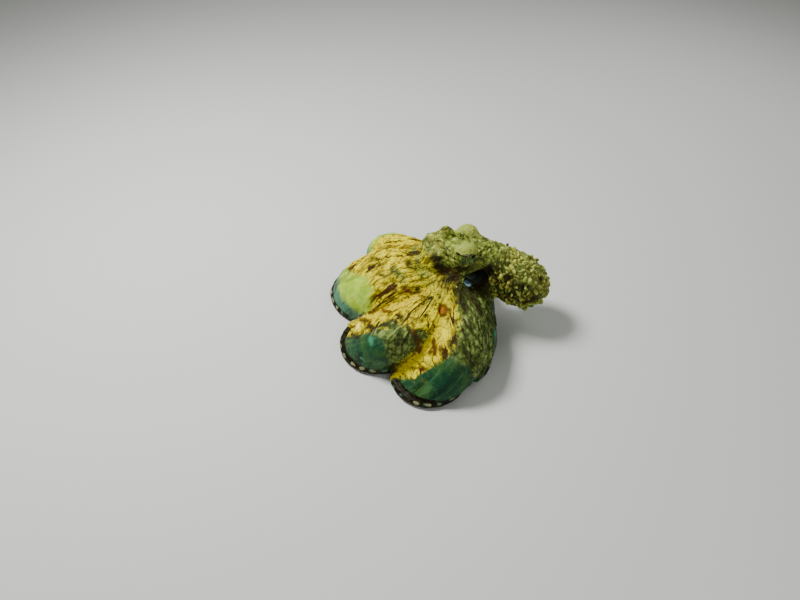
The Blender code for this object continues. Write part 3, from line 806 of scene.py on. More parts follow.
# Strokes painted on the web, by kind: start, end, half-width in mm and strength. An end is the
# panel, the share across it from its first arm to the next, and the share down it to the hem.
STROKES = {
    "bright": (  # pale yellow patches, with the white spot at the first arm's knee
        # painted highlight on the ridge of the second arm
        ((4, 0.90, 0.39), (5, 0.18, 0.41), 11, 1.15),
        ((5, 0.12, 0.45), (5, 0.15, 0.52), 6.5, 0.9),
        ((5, 0.07, 0.66), (5, 0.20, 0.60), 5.5, 0.75),
        ((5, 0.04, 0.87), (5, 0.13, 0.82), 5.5, 1.1),
        ((5, 0.03, 0.55), (5, 0.04, 0.68), 4.5, 0.6),
        ((4, 0.02, 0.66), (4, 0.16, 0.54), 6, 0.75),
        ((4, 0.16, 0.54), (4, 0.27, 0.45), 6, 0.75),
        ((4, 0.06, 0.83), (4, 0.12, 0.80), 8, 1.7),
        ((4, 0.75, 0.17), (4, 0.82, 0.24), 7, 0.5),
        ((5, 0.30, 0.31), (5, 0.32, 0.34), 6, 0.6),
        ((3, 0.05, 0.35), (3, 0.24, 0.42), 14, 0.6),
        ((3, 0.44, 0.34), (3, 0.50, 0.38), 12, 0.6),
        ((4, 0.30, 0.56), (4, 0.36, 0.52), 4.5, 0.7),
        ((3, 0.30, 0.52), (3, 0.40, 0.60), 5, 0.6),
        ((5, 0.72, 0.62), (5, 0.86, 0.72), 4, 0.62),
        ((5, 0.62, 0.52), (5, 0.72, 0.62), 3.5, 0.5),
    ),
    "dark": (  # dark brown notches and blotches, and painted shade beneath the mantle
        ((4, 0.02, 0.80), (4, 0.12, 0.70), 4.5, 0.8),
        ((3, 0.97, 0.88), (4, 0.04, 0.80), 5, 0.7),
        ((4, 0.26, 0.43), (4, 0.36, 0.42), 4.5, 1),
        ((3, 0.88, 0.76), (3, 0.97, 0.90), 4, 0.8),
        ((5, 0.36, 0.12), (5, 0.42, 0.24), 9, 0.85),
        ((5, 0.70, 0.14), (5, 0.72, 0.30), 10, 0.85),
        ((5, 0.50, 0.30), (5, 0.46, 0.48), 3.5, 0.8),
        ((5, 0.62, 0.30), (5, 0.58, 0.50), 3.5, 0.8),
        ((5, 0.38, 0.26), (5, 0.36, 0.46), 3, 0.75),
        ((5, 0.76, 0.30), (5, 0.70, 0.48), 3.5, 0.75),
        ((6, 0.20, 0.30), (5, 0.90, 0.46), 4, 0.7),
        ((4, 0.18, 0.66), (4, 0.24, 0.60), 6, 0.85),
        ((4, 0.20, 0.84), (4, 0.27, 0.74), 8, 0.85),
        ((5, 0.24, 0.46), (5, 0.26, 0.49), 5, 0.8),
        ((3, 0.84, 0.29), (4, 0.39, 0.22), 7.5, 0.85),
        ((3, 0.60, 0.43), (3, 0.66, 0.38), 5, 0.7),
        ((4, 0.55, 0.40), (4, 0.62, 0.34), 6, 0.7),
        ((4, 0.58, 0.60), (4, 0.68, 0.50), 7, 0.7),
        ((3, 0.28, 0.28), (3, 0.36, 0.24), 6, 0.6),
        ((3, 0.46, 0.27), (3, 0.57, 0.26), 8, 0.8),
        ((3, 0.32, 0.50), (3, 0.38, 0.43), 6, 0.8),
        ((3, 0.46, 0.47), (3, 0.48, 0.40), 6, 0.8),
        ((4, 0.32, 0.42), (4, 0.35, 0.42), 6.5, 1),
        ((4, 0.80, 0.84), (4, 0.82, 0.92), 8, 0.9),
        # painted shade on the web beneath the mantle
        ((5, 0.45, 0.10), (6, 0.60, 0.20), 20, 0.78),
        ((5, 0.60, 0.28), (6, 0.20, 0.34), 14, 0.5),
        ((5, 0.84, 0.56), (5, 0.95, 0.76), 4, 0.75),
        ((5, 0.70, 0.66), (5, 0.90, 0.84), 3, 0.7),
    ),
    "rust": (  # red-brown lines and the orange spot above the second arm
        ((3, 0.92, 0.70), (3, 0.97, 0.60), 4.5, 1.3),
        ((3, 0.97, 0.60), (4, 0.07, 0.50), 4.5, 1.4),
        ((3, 0.96, 0.86), (4, 0.05, 0.73), 5, 1.35),
        ((4, 0.05, 0.73), (4, 0.13, 0.65), 5, 1.2),
        ((3, 0.80, 0.36), (4, 0.11, 0.25), 6, 1),
        ((3, 0.30, 0.60), (3, 0.44, 0.66), 4, 0.9),
        ((3, 0.62, 0.47), (3, 0.80, 0.40), 4, 0.8),
        ((4, 0.12, 0.67), (4, 0.24, 0.62), 7, 1.1),
        ((4, 0.85, 0.29), (4, 0.88, 0.31), 9, 2),
        ((5, 0.08, 0.60), (5, 0.16, 0.53), 7, 1),
        ((4, 0.64, 0.47), (4, 0.86, 0.64), 8, 1.15),
        ((5, 0.03, 0.53), (5, 0.13, 0.58), 6, 1.3),
        ((4, 0.80, 0.46), (4, 0.86, 0.44), 5, 0.75),
        ((5, 0.12, 0.74), (5, 0.17, 0.69), 4.5, 0.8),
        ((4, 0.70, 0.36), (4, 0.74, 0.38), 5, 0.6),
        ((5, 0.20, 0.23), (5, 0.25, 0.17), 6, 0.6),
    ),
    "olive": (  # shaded patches among the yellow
        ((3, 0.56, 0.34), (3, 0.72, 0.33), 10, 1),
        ((3, 0.52, 0.21), (3, 0.68, 0.19), 9, 0.8),
        ((4, 0.42, 0.24), (4, 0.55, 0.30), 8, 0.5),
        ((2, 0.50, 0.30), (3, 0.20, 0.22), 12, 0.6),
    ),
    "gleam": (  # blue-green shine of the stretched web
        ((4, 0.37, 0.65), (4, 0.41, 0.66), 7, 0.8),
        ((4, 0.54, 0.84), (4, 0.50, 0.84), 3.5, 0.8),
        ((6, 0.27, 0.58), (6, 0.06, 0.68), 4, 1),
    ),
}
# The round dark spot below the left eye.
OCELLUS_CENTRE = Vector((-30, -37, 116)) * MM
OCELLUS_SIZE = Vector((14, 13, 10)) * MM
# Dark blotches and painted shade on head and mantle: middle and half-lengths, the head's first.
BLOTCHES_OF_HEAD = 8
BROWN_AND_SHADE_BLOTCHES = (
    ((-49, -19, 142), (15, 10, 10)),
    ((-45, -24, 130), (14, 10, 10)),
    ((-33, -27, 124), (15, 12, 12)),
    ((-21, -34, 120), (16, 12, 13)),
    ((-12, -32, 131), (10, 9, 10)),
    ((14, -35, 138), (12, 9, 8)),
    ((-2, -36, 134), (18, 10, 9)),
    ((36, -28, 126), (14, 14, 16)),
    ((66, -40, 122), (10, 9, 9)),
    ((92, -42, 104), (14, 9, 8)),
    ((118, -24, 106), (10, 10, 10)),
    ((70, -46, 92), (16, 12, 9)),
    ((108, -46, 80), (14, 10, 9)),
)
LOWER_LID = (Vector((3, -35, 149)) * MM, Vector((27, 12, 9)) * MM)
# Painted shadow in the creases that carry the lids' slit on to the front and the back of each eye.
LID_CREASE_SHADOWS = (
    ((-18, -26, 161), (-10, -29, 160)),
    ((7, -30, 157.5), (13, -28, 156.5)),
    ((13, -28, 156.5), (21, -24, 155)),
    ((-13, 29, 163), (-6, 32, 163)),
    ((10, 32, 160), (21, 28, 158)),
)


def spread_from(points, centre, size):
    """Distance of points from a place, in shares of a size that differs by axis."""
    return np.linalg.norm((points - np.array(centre)) / np.array(size), axis=1)


def stroke_distance(points, start, end):
    """Distance of points from the straight line between two places."""
    way = end - start
    share = np.clip((points - start) @ way / max(way @ way, 1e-12), 0, 1)
    return np.linalg.norm(points - start - share[:, None] * way, axis=1)


def mark(flesh):
    """Writes on the skin where its markings lie: along the arms, along the folds and in zones."""
    mesh = flesh.data
    points = vertices_of(mesh)
    arms, webs = ArmPlaces(points), WebPlaces(points)
    head = depth_in_masses(points, HEAD_MASSES)
    mantle = mantle_place(points)
    on_head = 1 - smoothstep(*HEAD_REACH, head)
    on_mantle = 1 - smoothstep(*MANTLE_REACH, np.linalg.norm(mantle, axis=1))
    # places along the arms, the folds and the web, which the patterns of the skin follow
    around = arms.round * arms.radius
    gold = np.maximum(on_mantle, on_head * smoothstep(-0.022, -0.052, points[:, 0]))
    store(mesh, "arm_place", np.stack([arms.run + arms.arm * 0.7, around, gold], 1))
    store(mesh, "fold_place", np.stack([webs.fold, webs.reach, webs.panel], 1))
    store(mesh, "web_place", np.stack([webs.across, webs.down, webs.panel], 1))
    # zones: stretched web, the band down each arm, and the dark hem beyond its foot
    past_foot = smoothstep(-0.004, 0.022, arms.run - arms.foot_run)
    hem = past_foot * (1 - smoothstep(1.25, 1.95, arms.distance / arms.radius))
    on_arm = 1 - smoothstep(1.2, 1.7, arms.distance / arms.radius)
    band = (1 - past_foot) * smoothstep(0.025, 0.07, arms.run) * on_arm
    edge = np.abs(arms.side / arms.radius - 0.25)
    store(mesh, "zones", np.stack([web_tautness(webs), band, hem], 1))
    store(mesh, "places", np.stack([on_head, on_mantle, edge], 1))

    # strokes and blotches
    paints = {kind: np.zeros(len(points)) for kind in STROKES}
    for kind, strokes in STROKES.items():
        for start, end, width, strength in strokes:
            away = stroke_distance(points, web_point(*start), web_point(*end)) / (width * MM)
            paints[kind] = np.maximum(paints[kind], strength * np.exp(-(away**2)))
    ocellus = spread_from(points, OCELLUS_CENTRE, OCELLUS_SIZE)
    # the mantle's opening is painted dark as the shade inside it
    opening_shade = 1 - smoothstep(0.75, 1.25, spread_from(points, APERTURE_CENTRE, APERTURE_SIZE))
    for centre, size in BROWN_AND_SHADE_BLOTCHES:
        blotch = np.exp(-(spread_from(points, Vector(centre) * MM, Vector(size) * MM) ** 2))
        paints["dark"] = np.maximum(paints["dark"], 1.15 * blotch)
    paints["dark"] = np.maximum.reduce([paints["dark"], np.exp(-(ocellus**2)), 1.4 * opening_shade])
    store(mesh, "paints", np.stack([paints["bright"], paints["rust"], paints["dark"]], 1))

    # the smooth skin over the eyes, the lower lid and painted shadow in the creases beside the
    # slits
    dome = np.zeros(len(points))
    for side in EYE_CENTRES:
        dome = np.maximum(dome, 1 - smoothstep(0.75, 1.15, dome_spread(points, side)))
    lower = 1 - smoothstep(0.75, 1.15, spread_from(points, *LOWER_LID))
    crease = np.zeros(len(points))
    for start, end in LID_CREASE_SHADOWS:
        away = stroke_distance(points, np.array(start) * MM, np.array(end) * MM) / (2.1 * MM)
        crease = np.maximum(crease, np.exp(-(away**2)))
    # painted light on the top of the mantle
    lit_top = on_mantle * smoothstep(0.1, 0.95, mantle[:, 2])
    store(mesh, "lids", np.stack([lower, crease, lit_top], 1))
    # painted shade on the web's underside, which faces the floor
    inward = (vertex_normals(mesh) * webs.outward).sum(1) < -0.2
    under = inward & (webs.distance < NEAR_WEB) & (head > 1.05) & (on_mantle == 0)
    sunlit = np.isin(webs.panel, SUNLIT_PANELS) * 1.0
    tail = on_mantle * smoothstep(0.45, 0.95, mantle[:, 0] - 0.35 * mantle[:, 2])
    store(mesh, "parts", np.stack([dome, under, sunlit], 1))
    ring = np.exp(-(((ocellus - 1.3) / 0.2) ** 2))
    # yellow climbs the crown as far as a slope that falls towards the brow
    brow_line = points[:, 2] + 0.7 * np.minimum(points[:, 0] + 0.03, 0)
    crown = on_head * (1 - smoothstep(0.104, 0.132, brow_line))
    store(mesh, "accents", np.stack([tail, ring, crown], 1))
    # the yellow is partly the web's own colour and partly painted sunlight and shade
    # how yellow the folded web is: all over in the sun, and less to the left of the animal
    beside_arms = (1 - smoothstep(0.74, 0.94, webs.across)) * smoothstep(0.2, 0.3, webs.across)
    low = smoothstep(0.4, 0.5, webs.down) * beside_arms
    yellow_and_sunlight = np.select(
        [np.isin(webs.panel, SUNLIT_PANELS), webs.panel == 4, webs.panel == 5],
        [1.0, 1 - low, 1 - smoothstep(0.06, 0.5, webs.across)],
        0.6 * (1 - smoothstep(0.1, 0.4, webs.down)),
    )
    yellow_and_sunlight *= 0.62 + 0.38 * smoothstep(0.16, 0.34, webs.down)
    yellow_and_sunlight *= 1 - 0.55 * np.minimum(paints["olive"], 1)
    store(mesh, "tones", np.stack([yellow_and_sunlight, pleats(webs), paints["gleam"]], 1))


class OCTOPUS_OT_skin(bpy.types.Operator):
    """Fuse head, mantle, arms and web into one skin and sculpt it"""

    bl_idname = "octopus.skin"
    bl_label = "Skin"

    def execute(self, context):
        flesh = fused_flesh(settings().skin_cell)
        refine_near_eyes(flesh)
        sculpt(flesh)
        thin_hidden(flesh, SKIN_TRIANGLES)
        mark(flesh)
        flesh.data.transform(Matrix.Translation(SHIFT))
        flesh.data.shade_smooth()
        flesh.data.materials.clear()
        flesh.data.materials.append(skin_material())
        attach(flesh, "root")
        fleshy = ("head", "mantle", "arm_", "web_")
        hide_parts(*[n for n in sorted(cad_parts) if n.startswith(fleshy)])
        return {"FINISHED"}


# ---------------------------------------------------------------- materials

# Words for the nodes: Blender's kind, its settings, the inputs filled in order, and the output.
NODE_WORDS = {
    "place": ("ShaderNodeTexCoord", {}, (), "Object"),
    "attribute": ("ShaderNodeAttribute", {}, (), "Vector"),
    "split": ("ShaderNodeSeparateXYZ", {}, (0,), None),
    "join": ("ShaderNodeCombineXYZ", {}, (0, 1, 2), 0),
    "maths": ("ShaderNodeMath", {}, (0, 1), 0),
    "noise": (
        "ShaderNodeTexNoise", {}, ("Vector", "Scale", "Detail", "Roughness", "Distortion"), "Fac",
    ),
    "cells": ("ShaderNodeTexVoronoi", {}, ("Vector", "Scale"), "Distance"),
    # A ramp is 0 below its first bound, 1 above its second and smooth between. Its first bound may
    # be the higher. A range runs evenly from one number to another.
    "ramp": (
        "ShaderNodeMapRange", {"interpolation_type": "SMOOTHSTEP"},
        ("Value", "From Min", "From Max"), 0,
    ),
    "range": ("ShaderNodeMapRange", {}, ("Value", "To Min", "To Max"), 0),
    "mix": ("ShaderNodeMix", {"data_type": "RGBA"}, (0, 6, 7), 2),
    "bump": ("ShaderNodeBump", {}, ("Height", "Strength", "Distance"), 0),
}


class Shade:
    """What a material works out at each point of its surface, with the signs of arithmetic."""

    def __init__(self, paint, socket):
        self.paint = paint
        self.socket = socket

    def __add__(self, other):
        return self.paint("maths", self, other, operation="ADD")

    def __sub__(self, other):
        return self.paint("maths", self, other, operation="SUBTRACT")

    def __rsub__(self, other):
        return self.paint("maths", other, self, operation="SUBTRACT")

    def __mul__(self, other):
        return self.paint("maths", self, other, operation="MULTIPLY")

    def __truediv__(self, other):
        return self.paint("maths", self, other, operation="DIVIDE")

    def __pow__(self, other):
        return self.paint("maths", self, other, operation="POWER")


class Painter:
    """The nodes of one material. A call with a word for a node adds it and gives its output."""

    def __init__(self, name):
        self.material = bpy.data.materials.new(name)
        self.material.use_nodes = True
        self.tree = self.material.node_tree

    def __call__(self, word, *inputs, **settings):
        kind, usual, sockets, output = NODE_WORDS[word]
        node = self.tree.nodes.new(kind)
        for name, value in {**usual, **settings}.items():
            setattr(node, name, value)
        for socket, value in zip(sockets, inputs):
            self.fill(node.inputs[socket], value)
        if output is None:
            return [Shade(self, each) for each in node.outputs]
        return Shade(self, node.outputs[output])

    def fill(self, socket, value):
        """Joins a socket to a shade, or sets it to a number or to an opaque colour."""
        if isinstance(value, Shade):
            self.tree.links.new(value.socket, socket)
        elif isinstance(value, (int, float)):
            socket.default_value = value
        else:
            socket.default_value = (*(linear(value) if isinstance(value, str) else value), 1)

    def marks(self, name):
        """The three numbers that the mesh holds at each point under a name."""
        return self("split", self("attribute", attribute_name=name))

    def coats(self, colour, *coats):
        """Colours laid in turn over a first one. Each coat is a mask and its colour, or a shade,
        the two bounds between which the coat comes in, how strong it grows, and its colour."""
        for mask, *reach, over in coats:
            if reach:
                low, high, strength = reach
                mask = self("ramp", mask, low, high)
                if strength != 1:
                    mask = mask * strength
            colour = self("mix", mask, colour, over)
        return colour

    def finished(self, surface):
        """The material, with its surface's sockets filled by name."""
        shader = self.tree.nodes["Principled BSDF"]
        for name, value in surface.items():
            self.fill(shader.inputs[name], value)
        return self.material


# Sizes of the markings that run over the whole skin.
BROAD_SIZE = 46 * MM
BLOTCH_SIZE = 20 * MM
MOTTLE_SIZE = 8.5 * MM
GRAIN_SIZE = 5.2 * MM
FLECK_SIZE = 3.4 * MM
PAPILLA_GRAIN = 2.2 * MM

OVAL_SPACING = 19 * MM
# Rows of ovals along the hem: how far the row is shifted along, how far round the arm from its
# outer side it runs, and the half-length of an oval in spacings and its half-width.
OVAL_ROWS = ((0.0, -6 * MM, 0.24, 2.6 * MM), (0.5, 3 * MM, 0.18, 2.1 * MM))
RUST_COLOUR = "4E2A06"


def mottling(paint):
    """Blotches, mottles and flecks. Warts and skin share them, so they match where they meet."""
    place = paint("place")
    return (
        paint("noise", place, 1 / BLOTCH_SIZE, 3, 0.6, 0.4),
        paint("noise", place, 1 / MOTTLE_SIZE, 4, 0.62, 0.5),
        paint("noise", place, 1 / FLECK_SIZE, 3, 0.6, 0.4),
    )


def warty_colour(paint, patterns, on_mantle, gold, height):
    """Mottled green of head and mantle, with painted shade between the lumps and painted light on
    them.
    """
    blotch, mottle, fleck = patterns
    rise = height + (mottle - 0.5) * 0.9
    golden = gold * paint("ramp", blotch, 0.42, 0.56)
    umber = paint("ramp", blotch + mottle * 0.5, 0.82, 0.92) * on_mantle
    return paint.coats(
        "46561C",
        (mottle, 0.4, 0.56, 1, "8E9E38"),
        (golden * 0.7, "B8AC38"),
        (fleck, 0.5, 0.62, 0.9, "B8C45C"),
        (umber * 0.8, "32260A"),
        # dark painted shade low between the lumps, and pale yellow-green painted light on them
        (rise, 0.48, 0.1, on_mantle * 0.4 + 0.55, "28200A"),
        (rise, 0.62, 1.0, 0.85, "C8D068"),
    )


def hem_colour(paint, patterns, along_arm, around_arm):
    """Dark hem with one row of long pale ovals, and a row of smaller ones beneath."""
    blotch, mottle, _ = patterns
    beat = along_arm / OVAL_SPACING + blotch * 1.7
    round_arm = around_arm + (mottle - 0.5) * (6 * MM)
    colour = paint.coats(settings().dark, (mottle, 0.45, 0.65, 1, "2A2A0E"))
    oval_colour = paint.coats("84865A", (blotch, 0.42, 0.56, 1, "346048"))
    for shift, level, half_long, half_wide in OVAL_ROWS:
        centre = paint("maths", beat + shift, operation="FRACT") - 0.5
        oval = (centre / half_long) ** 2 + ((round_arm - level) / half_wide) ** 2
        oval = oval + (mottle - 0.5) * 2.4 + (blotch - 0.5) * 2.5
        colour = paint.coats(colour, (oval, 1.3, 0.6, 1, oval_colour))
    return colour


def skin_material():
    """Wet living skin: matt where it is warty, with a sheen of thin mucus where it is stretched."""
    paint = Painter("octopus_skin")
    choice = settings()
    taut, band, hem = paint.marks("zones")
    on_head, on_mantle, edge = paint.marks("places")
    bright, rust, dark = paint.marks("paints")
    dome, under, sunlit = paint.marks("parts")
    tail, ring, crown = paint.marks("accents")
    yellow_and_sunlight, pleat, gleam = paint.marks("tones")
    fold, reach, panel = paint.marks("fold_place")
    across, down, _ = paint.marks("web_place")
    along_arm, around_arm, gold = paint.marks("arm_place")
    clump, knob, _ = paint.marks("relief")
    lower_lid, crease, lit_top = paint.marks("lids")

    place = paint("place")
    patterns = blotch, mottle, fleck = mottling(paint)
    broad = paint("noise", place, 1 / BROAD_SIZE, 2, 0.5, 0.6)
    grain = paint("cells", place, 1 / GRAIN_SIZE)
    gaps = paint("ramp", grain, 0.5, 0.75)

    def ragged(mask, amount):
        return mask + (mottle - 0.5) * amount

    def larger(a, b):
        return paint("maths", a, b, operation="MAXIMUM")

    # streaks of 4 mm and finer ones between run with the folds; pleat clefts are painted shade
    streak = paint("noise", paint("join", fold * 20, reach * 4, panel), 1, 3, 0.62, 1.1)
    fine_streak = paint("noise", paint("join", fold * 44, reach * 6, panel), 1, 2, 0.55, 0.8)
    rib = paint("noise", paint("join", across * 11, down * 3, panel), 1, 3, 0.6, 0.9)
    sway = streak - 0.5
    lines = paint("ramp", streak + (broad - 0.5) * 0.35, 0.53, 0.6)
    # the clefts of the pleats darkened as painted shade
    lines = larger(lines, paint("ramp", pleat, 0.15, 0.03) * 0.8)
    lines = larger(lines, paint("ramp", fine_streak, 0.56, 0.64) * 0.7)

    # folded web: yellow in painted sunlight, and olive where it is shaded, partly as painted shade
    lit = paint.coats(
        choice.yellow,
        (mottle, 0.3, 0.52, 1, choice.pale),
        (blotch, 0.5, 0.64, 0.42, "7C7010"),
        (gaps * 0.22, "6A4C00"),
        (broad, 0.5, 0.66, 0.4, "A0A028"),
        # painted highlights where the knobs catch the light
        (fleck, 0.5, 0.6, 0.5, "FFF400"),
        (lines, "3E2800"),
    )
    folded = paint.coats(
        choice.olive,
        (mottle, 0.4, 0.62, 1, choice.green),
        # pale pleat crests as painted light
        (pleat, 0.2, 0.55, 0.75, "98A85C"),
        (gaps * 0.3, "2A2C0C"),
        (lines * 0.85, "20240A"),
        (ragged(yellow_and_sunlight, 1.5) + sway * 1.2, 0.15, 0.85, 1, lit),
    )

    # stretched web: pale yellow-green on the two panels in painted sun, dark teal on the rest
    pale_web = paint.coats(
        "98BC20",
        (blotch, 0.35, 0.65, 1, "B8D840"),
        (ragged(down, 0.1), 0.74, 0.86, 1, "3C7A5C"),
    )
    # the dark teal is partly the web's own colour and partly painted shade
    stretched = paint.coats(
        choice.teal,
        (blotch, 0.35, 0.7, 1, "355828"),
        (sunlit, pale_web),
        (rib, 0.54, 0.62, paint("ramp", down, 0.72, 0.9) * 0.45 + 0.4, "0C2416"),
        (rib, 0.46, 0.38, 0.22, "5E8E5A"),
        (fleck, 0.6, 0.7, 0.3, "6A9A5E"),
        (ragged(gleam, 0.7), 0.2, 1.1, 1, "4A9A74"),
    )

    # bands down the arms, and the hem
    arm_colour = paint.coats(
        choice.yellow,
        (fleck, 0.38, 0.6, 1, choice.pale),
        (ragged(edge, 2.4), 0.5, 0.72, 1, RUST_COLOUR),
        (edge + mottle, 1.25, 1.6, 1, choice.brown),
    )
    arm_shows = band * paint("ramp", ragged(yellow_and_sunlight, 0.9), 0.35, 0.65)
    colour = paint.coats(
        folded,
        (ragged(taut, 1.1), 0.08, 1.0, 1, stretched),
        (arm_shows * 0.75, arm_colour),
        (ragged(hem, 0.9), 0.4, 0.6, 1, hem_colour(paint, patterns, along_arm, around_arm)),
    )

    # head, mantle and eyelids
    body = paint.coats(
        warty_colour(paint, patterns, on_mantle, gold, clump),
        # painted shade in the clefts between the small knobs
        (knob, 0.3, 0.05, 0.3, "242A0C"),
        # painted light on the mantle's top
        (lit_top * 0.4, "B8C460"),
        (ragged(tail, 0.5) * 0.8, "5A802E"),
    )
    lid_colour = paint.coats(
        "5E8040",
        (dome, 0.35, 1.0, 1, "98AA48"),
        (mottle, 0.4, 0.65, 0.7, "B0AE50"),
        (fleck, 0.56, 0.66, 0.5, "4A5A24"),
    )
    low_colour = paint.coats("1C3A24", (fleck, 0.4, 0.6, 1, "5C7C44"))
    colour = paint.coats(
        colour,
        (ragged(larger(on_head - crown, on_mantle), 1.9), 0.3, 0.85, 1, body),
        (ragged(lower_lid, 1.8), 0.2, 1.0, 0.85, low_colour),
        (ragged(dome, 1), 0.35, 0.7, 1, lid_colour),
        (lower_lid * paint("ramp", dome, 0.2, 0.9), low_colour),
        # painted shadow in the creases beside the slits
        (crease, 0.15, 0.6, 1, "0A100A"),
    )

    # strokes painted on the web, and painted shade on the underside that only the floor sees
    dark_brown_and_shade = paint.coats("140E04", (fleck, 0.42, 0.6, 1, "34300E"))
    colour = paint.coats(
        colour,
        (ragged(bright, 0.9), 0.35, 0.75, 1 - lines * 0.75, choice.pale),
        # the white spot, and a painted highlight on the second arm
        (ragged(bright, 0.5), 1.15, 1.6, 1, "FFFAA0"),
        (ragged(rust, 1.2) + sway * 1.6, 0.3, 1.05, 0.9, RUST_COLOUR),
        (ragged(rust, 1.4) + sway * 0.6, 1.35, 2.1, 0.85, "C4761A"),
        # dark brown skin, and painted shade
        (ragged(dark, 1.6) + (fleck - 0.5) * 1.4, 0.2, 0.95, 1, dark_brown_and_shade),
        (ring * 0.6, "4A2A0C"),
        # painted shade on the web's underside
        (under, "2A2418"),
    )
    relief = (grain * -0.8 + fleck * 0.5) * (1 - taut * 0.8)
    return paint.finished({
        "Base Color": colour,
        "Roughness": paint("range", taut, 0.6, 0.46),
        "Specular IOR Level": 0.1,
        "Normal": paint("bump", relief, 0.8, 1.6 * MM),
    })


# ---------------------------------------------------------------- eyes

EYE_SLIT = (8.2 * MM, 1.9 * MM)  # half-length and half-height of the level pupil
EYE_IRIS = 9.5 * MM
EYE_BULGE = 0.5 * MM
EYE_PLAY = 0.15 * MM  # between the eyeball and its lids


def eye_piece(side, material):
    """An eyeball with a cornea that stands a little proud over the iris."""
    bm = bmesh.new()
    bmesh.ops.create_uvsphere(bm, u_segments=64, v_segments=40, radius=EYE_RADIUS - EYE_PLAY)
    for vertex in bm.verts:
        inward = math.hypot(vertex.co.x, vertex.co.y) / EYE_IRIS
        if vertex.co.z > 0 and inward < 1:
            vertex.co.z += EYE_BULGE * (1 - inward**2) ** 2
    mesh = mesh_of(bm, "eye_" + side)
    store(mesh, "iris_place", vertices_of(mesh))
    turn = EYE_AXES[side].to_track_quat("Z", "Y").to_matrix().to_4x4()
    mesh.transform(Matrix.Translation(EYE_CENTRES[side] + SHIFT) @ turn)
    mesh.shade_smooth()
    eye = new_object("eyeball_" + side, mesh, material)
    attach(eye, "root")
    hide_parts("eye_" + side)


def eye_material():
    """Wet cornea over a gold iris: very smooth, with a dark level slit and fine dark rays."""
    paint = Painter("octopus_eye")
    x, y, _ = paint.marks("iris_place")
    out = paint("maths", x * x + y * y, operation="SQRT")
    angle = paint("maths", y, x, operation="ARCTAN2")
    rays = paint("noise", paint("join", angle * 5, out * 260, 0), 1, 3, 0.6)
    long_way, high_way = (
        paint("maths", way / half, operation="ABSOLUTE") ** 4 for way, half in zip((x, y), EYE_SLIT)
    )
    colour = paint.coats(
        "4E5420",
        (rays, 0.35, 0.65, 1, "A8A458"),
        (out, 8.2 * MM, 9.8 * MM, 1, "2A2814"),  # dark rim of the iris
        (long_way + high_way, 1.15, 0.85, 1, "050403"),
    )
    return paint.finished(
        {"Base Color": colour, "Roughness": 0.06, "Coat Weight": 1, "Coat Roughness": 0.03}
    )


class OCTOPUS_OT_eyes(bpy.types.Operator):
    """Set the two eyeballs behind the lids"""

    bl_idname = "octopus.eyes"
    bl_label = "Eyes"

    def execute(self, context):
        material = eye_material()
        for side in EYE_CENTRES:
            eye_piece(side, material)
        return {"FINISHED"}


# ---------------------------------------------------------------- funnel

FUNNEL_MOTTLE = 6 * MM
FUNNEL_FLARE = 0.16  # how much wider the mouth is than the taper would make it
FUNNEL_SIDES = 40
FUNNEL_STEPS = 6
LIP_ROUNDING = 3


def funnel_stations():
    """Rings of the funnel: out along its outside, over the lip and back down its bore."""
    route = catmull_rom([Vector(p) * MM for p in FUNNEL_ROUTE], FUNNEL_STEPS)
    run = run_of(route)
    wide, narrow = FUNNEL_RADIUS
    outside = []
    for place, length in zip(route, run):
        radius = (wide + (narrow - wide) * length / run[-1]) * ARM_FIT
        outside.append((place, radius * (1 + FUNNEL_FLARE * (length / run[-1]) ** 4)))
    ahead = (route[-1] - route[-2]).normalized()
    tip, tip_radius = outside[-1]
    lip = []
    for i in range(1, LIP_ROUNDING + 1):
        turn = math.pi * i / (LIP_ROUNDING + 1)
        half = FUNNEL_WALL / 2
        lip.append((tip + ahead * half * math.sin(turn), tip_radius - half * (1 - math.cos(turn))))
    inside = [
        (place, radius - FUNNEL_WALL)
        for (place, radius), length in zip(outside, run)
        if length > run[-1] - FUNNEL_VALVE_DEPTH
    ]
    return outside + lip + inside[::-1]


def funnel_mesh():
    """The funnel, drawn out ring by ring from a circle at its root."""
    stations = funnel_stations()
    bm = bmesh.new()
    ring = bmesh.ops.create_circle(bm, cap_ends=True, segments=FUNNEL_SIDES, radius=1)["verts"]
    edges = bm.edges[:]
    last = FUNNEL_STEPS * (len(FUNNEL_ROUTE) - 1)
    route = [centre for centre, _ in stations[: last + 1]]
    placed = None
    for i, (centre, radius) in enumerate(stations):
        if i:
            drawn = bmesh.ops.extrude_edge_only(bm, edges=edges)["geom"]
            ring = [g for g in drawn if isinstance(g, bmesh.types.BMVert)]
            edges = [g for g in drawn if isinstance(g, bmesh.types.BMEdge)]
            for vertex in ring:
                vertex.co = placed.inverted() @ vertex.co
        near = min(range(last + 1), key=lambda k: (route[k] - centre).length)
        way = route[min(near + 1, last)] - route[max(near - 1, 0)]
        turn = way.to_track_quat("Z", "Y").to_matrix().to_4x4()
        placed = Matrix.Translation(centre) @ turn @ Matrix.Diagonal((radius, radius, 1, 1))
        for vertex in ring:
            vertex.co = placed @ vertex.co
    bmesh.ops.contextual_create(bm, geom=edges)
    bmesh.ops.recalc_face_normals(bm, faces=bm.faces)
    return mesh_of(bm, "breathing_funnel")


def funnel_material():
    """Thin moist muscle: smooth, painted near black as the shade beneath the head, with a pale
    blue-grey lip.
    """
    paint = Painter("octopus_funnel")
    mottle = paint("noise", paint("place"), 1 / FUNNEL_MOTTLE, 3, 0.6)
    lip, _, _ = paint.marks("lip_place")
    colour = paint.coats(
        # near black: painted shade
        "050A06",
        (mottle, 0.35, 0.65, 1, "141E14"),
        (lip, 0.3, 0.9, 1, "5E7E88"),
    )
    bump = paint("bump", mottle, 0.5, 1 * MM)
    return paint.finished(
        {"Base Color": colour, "Roughness": 0.6, "Specular IOR Level": 0.15, "Normal": bump}
    )


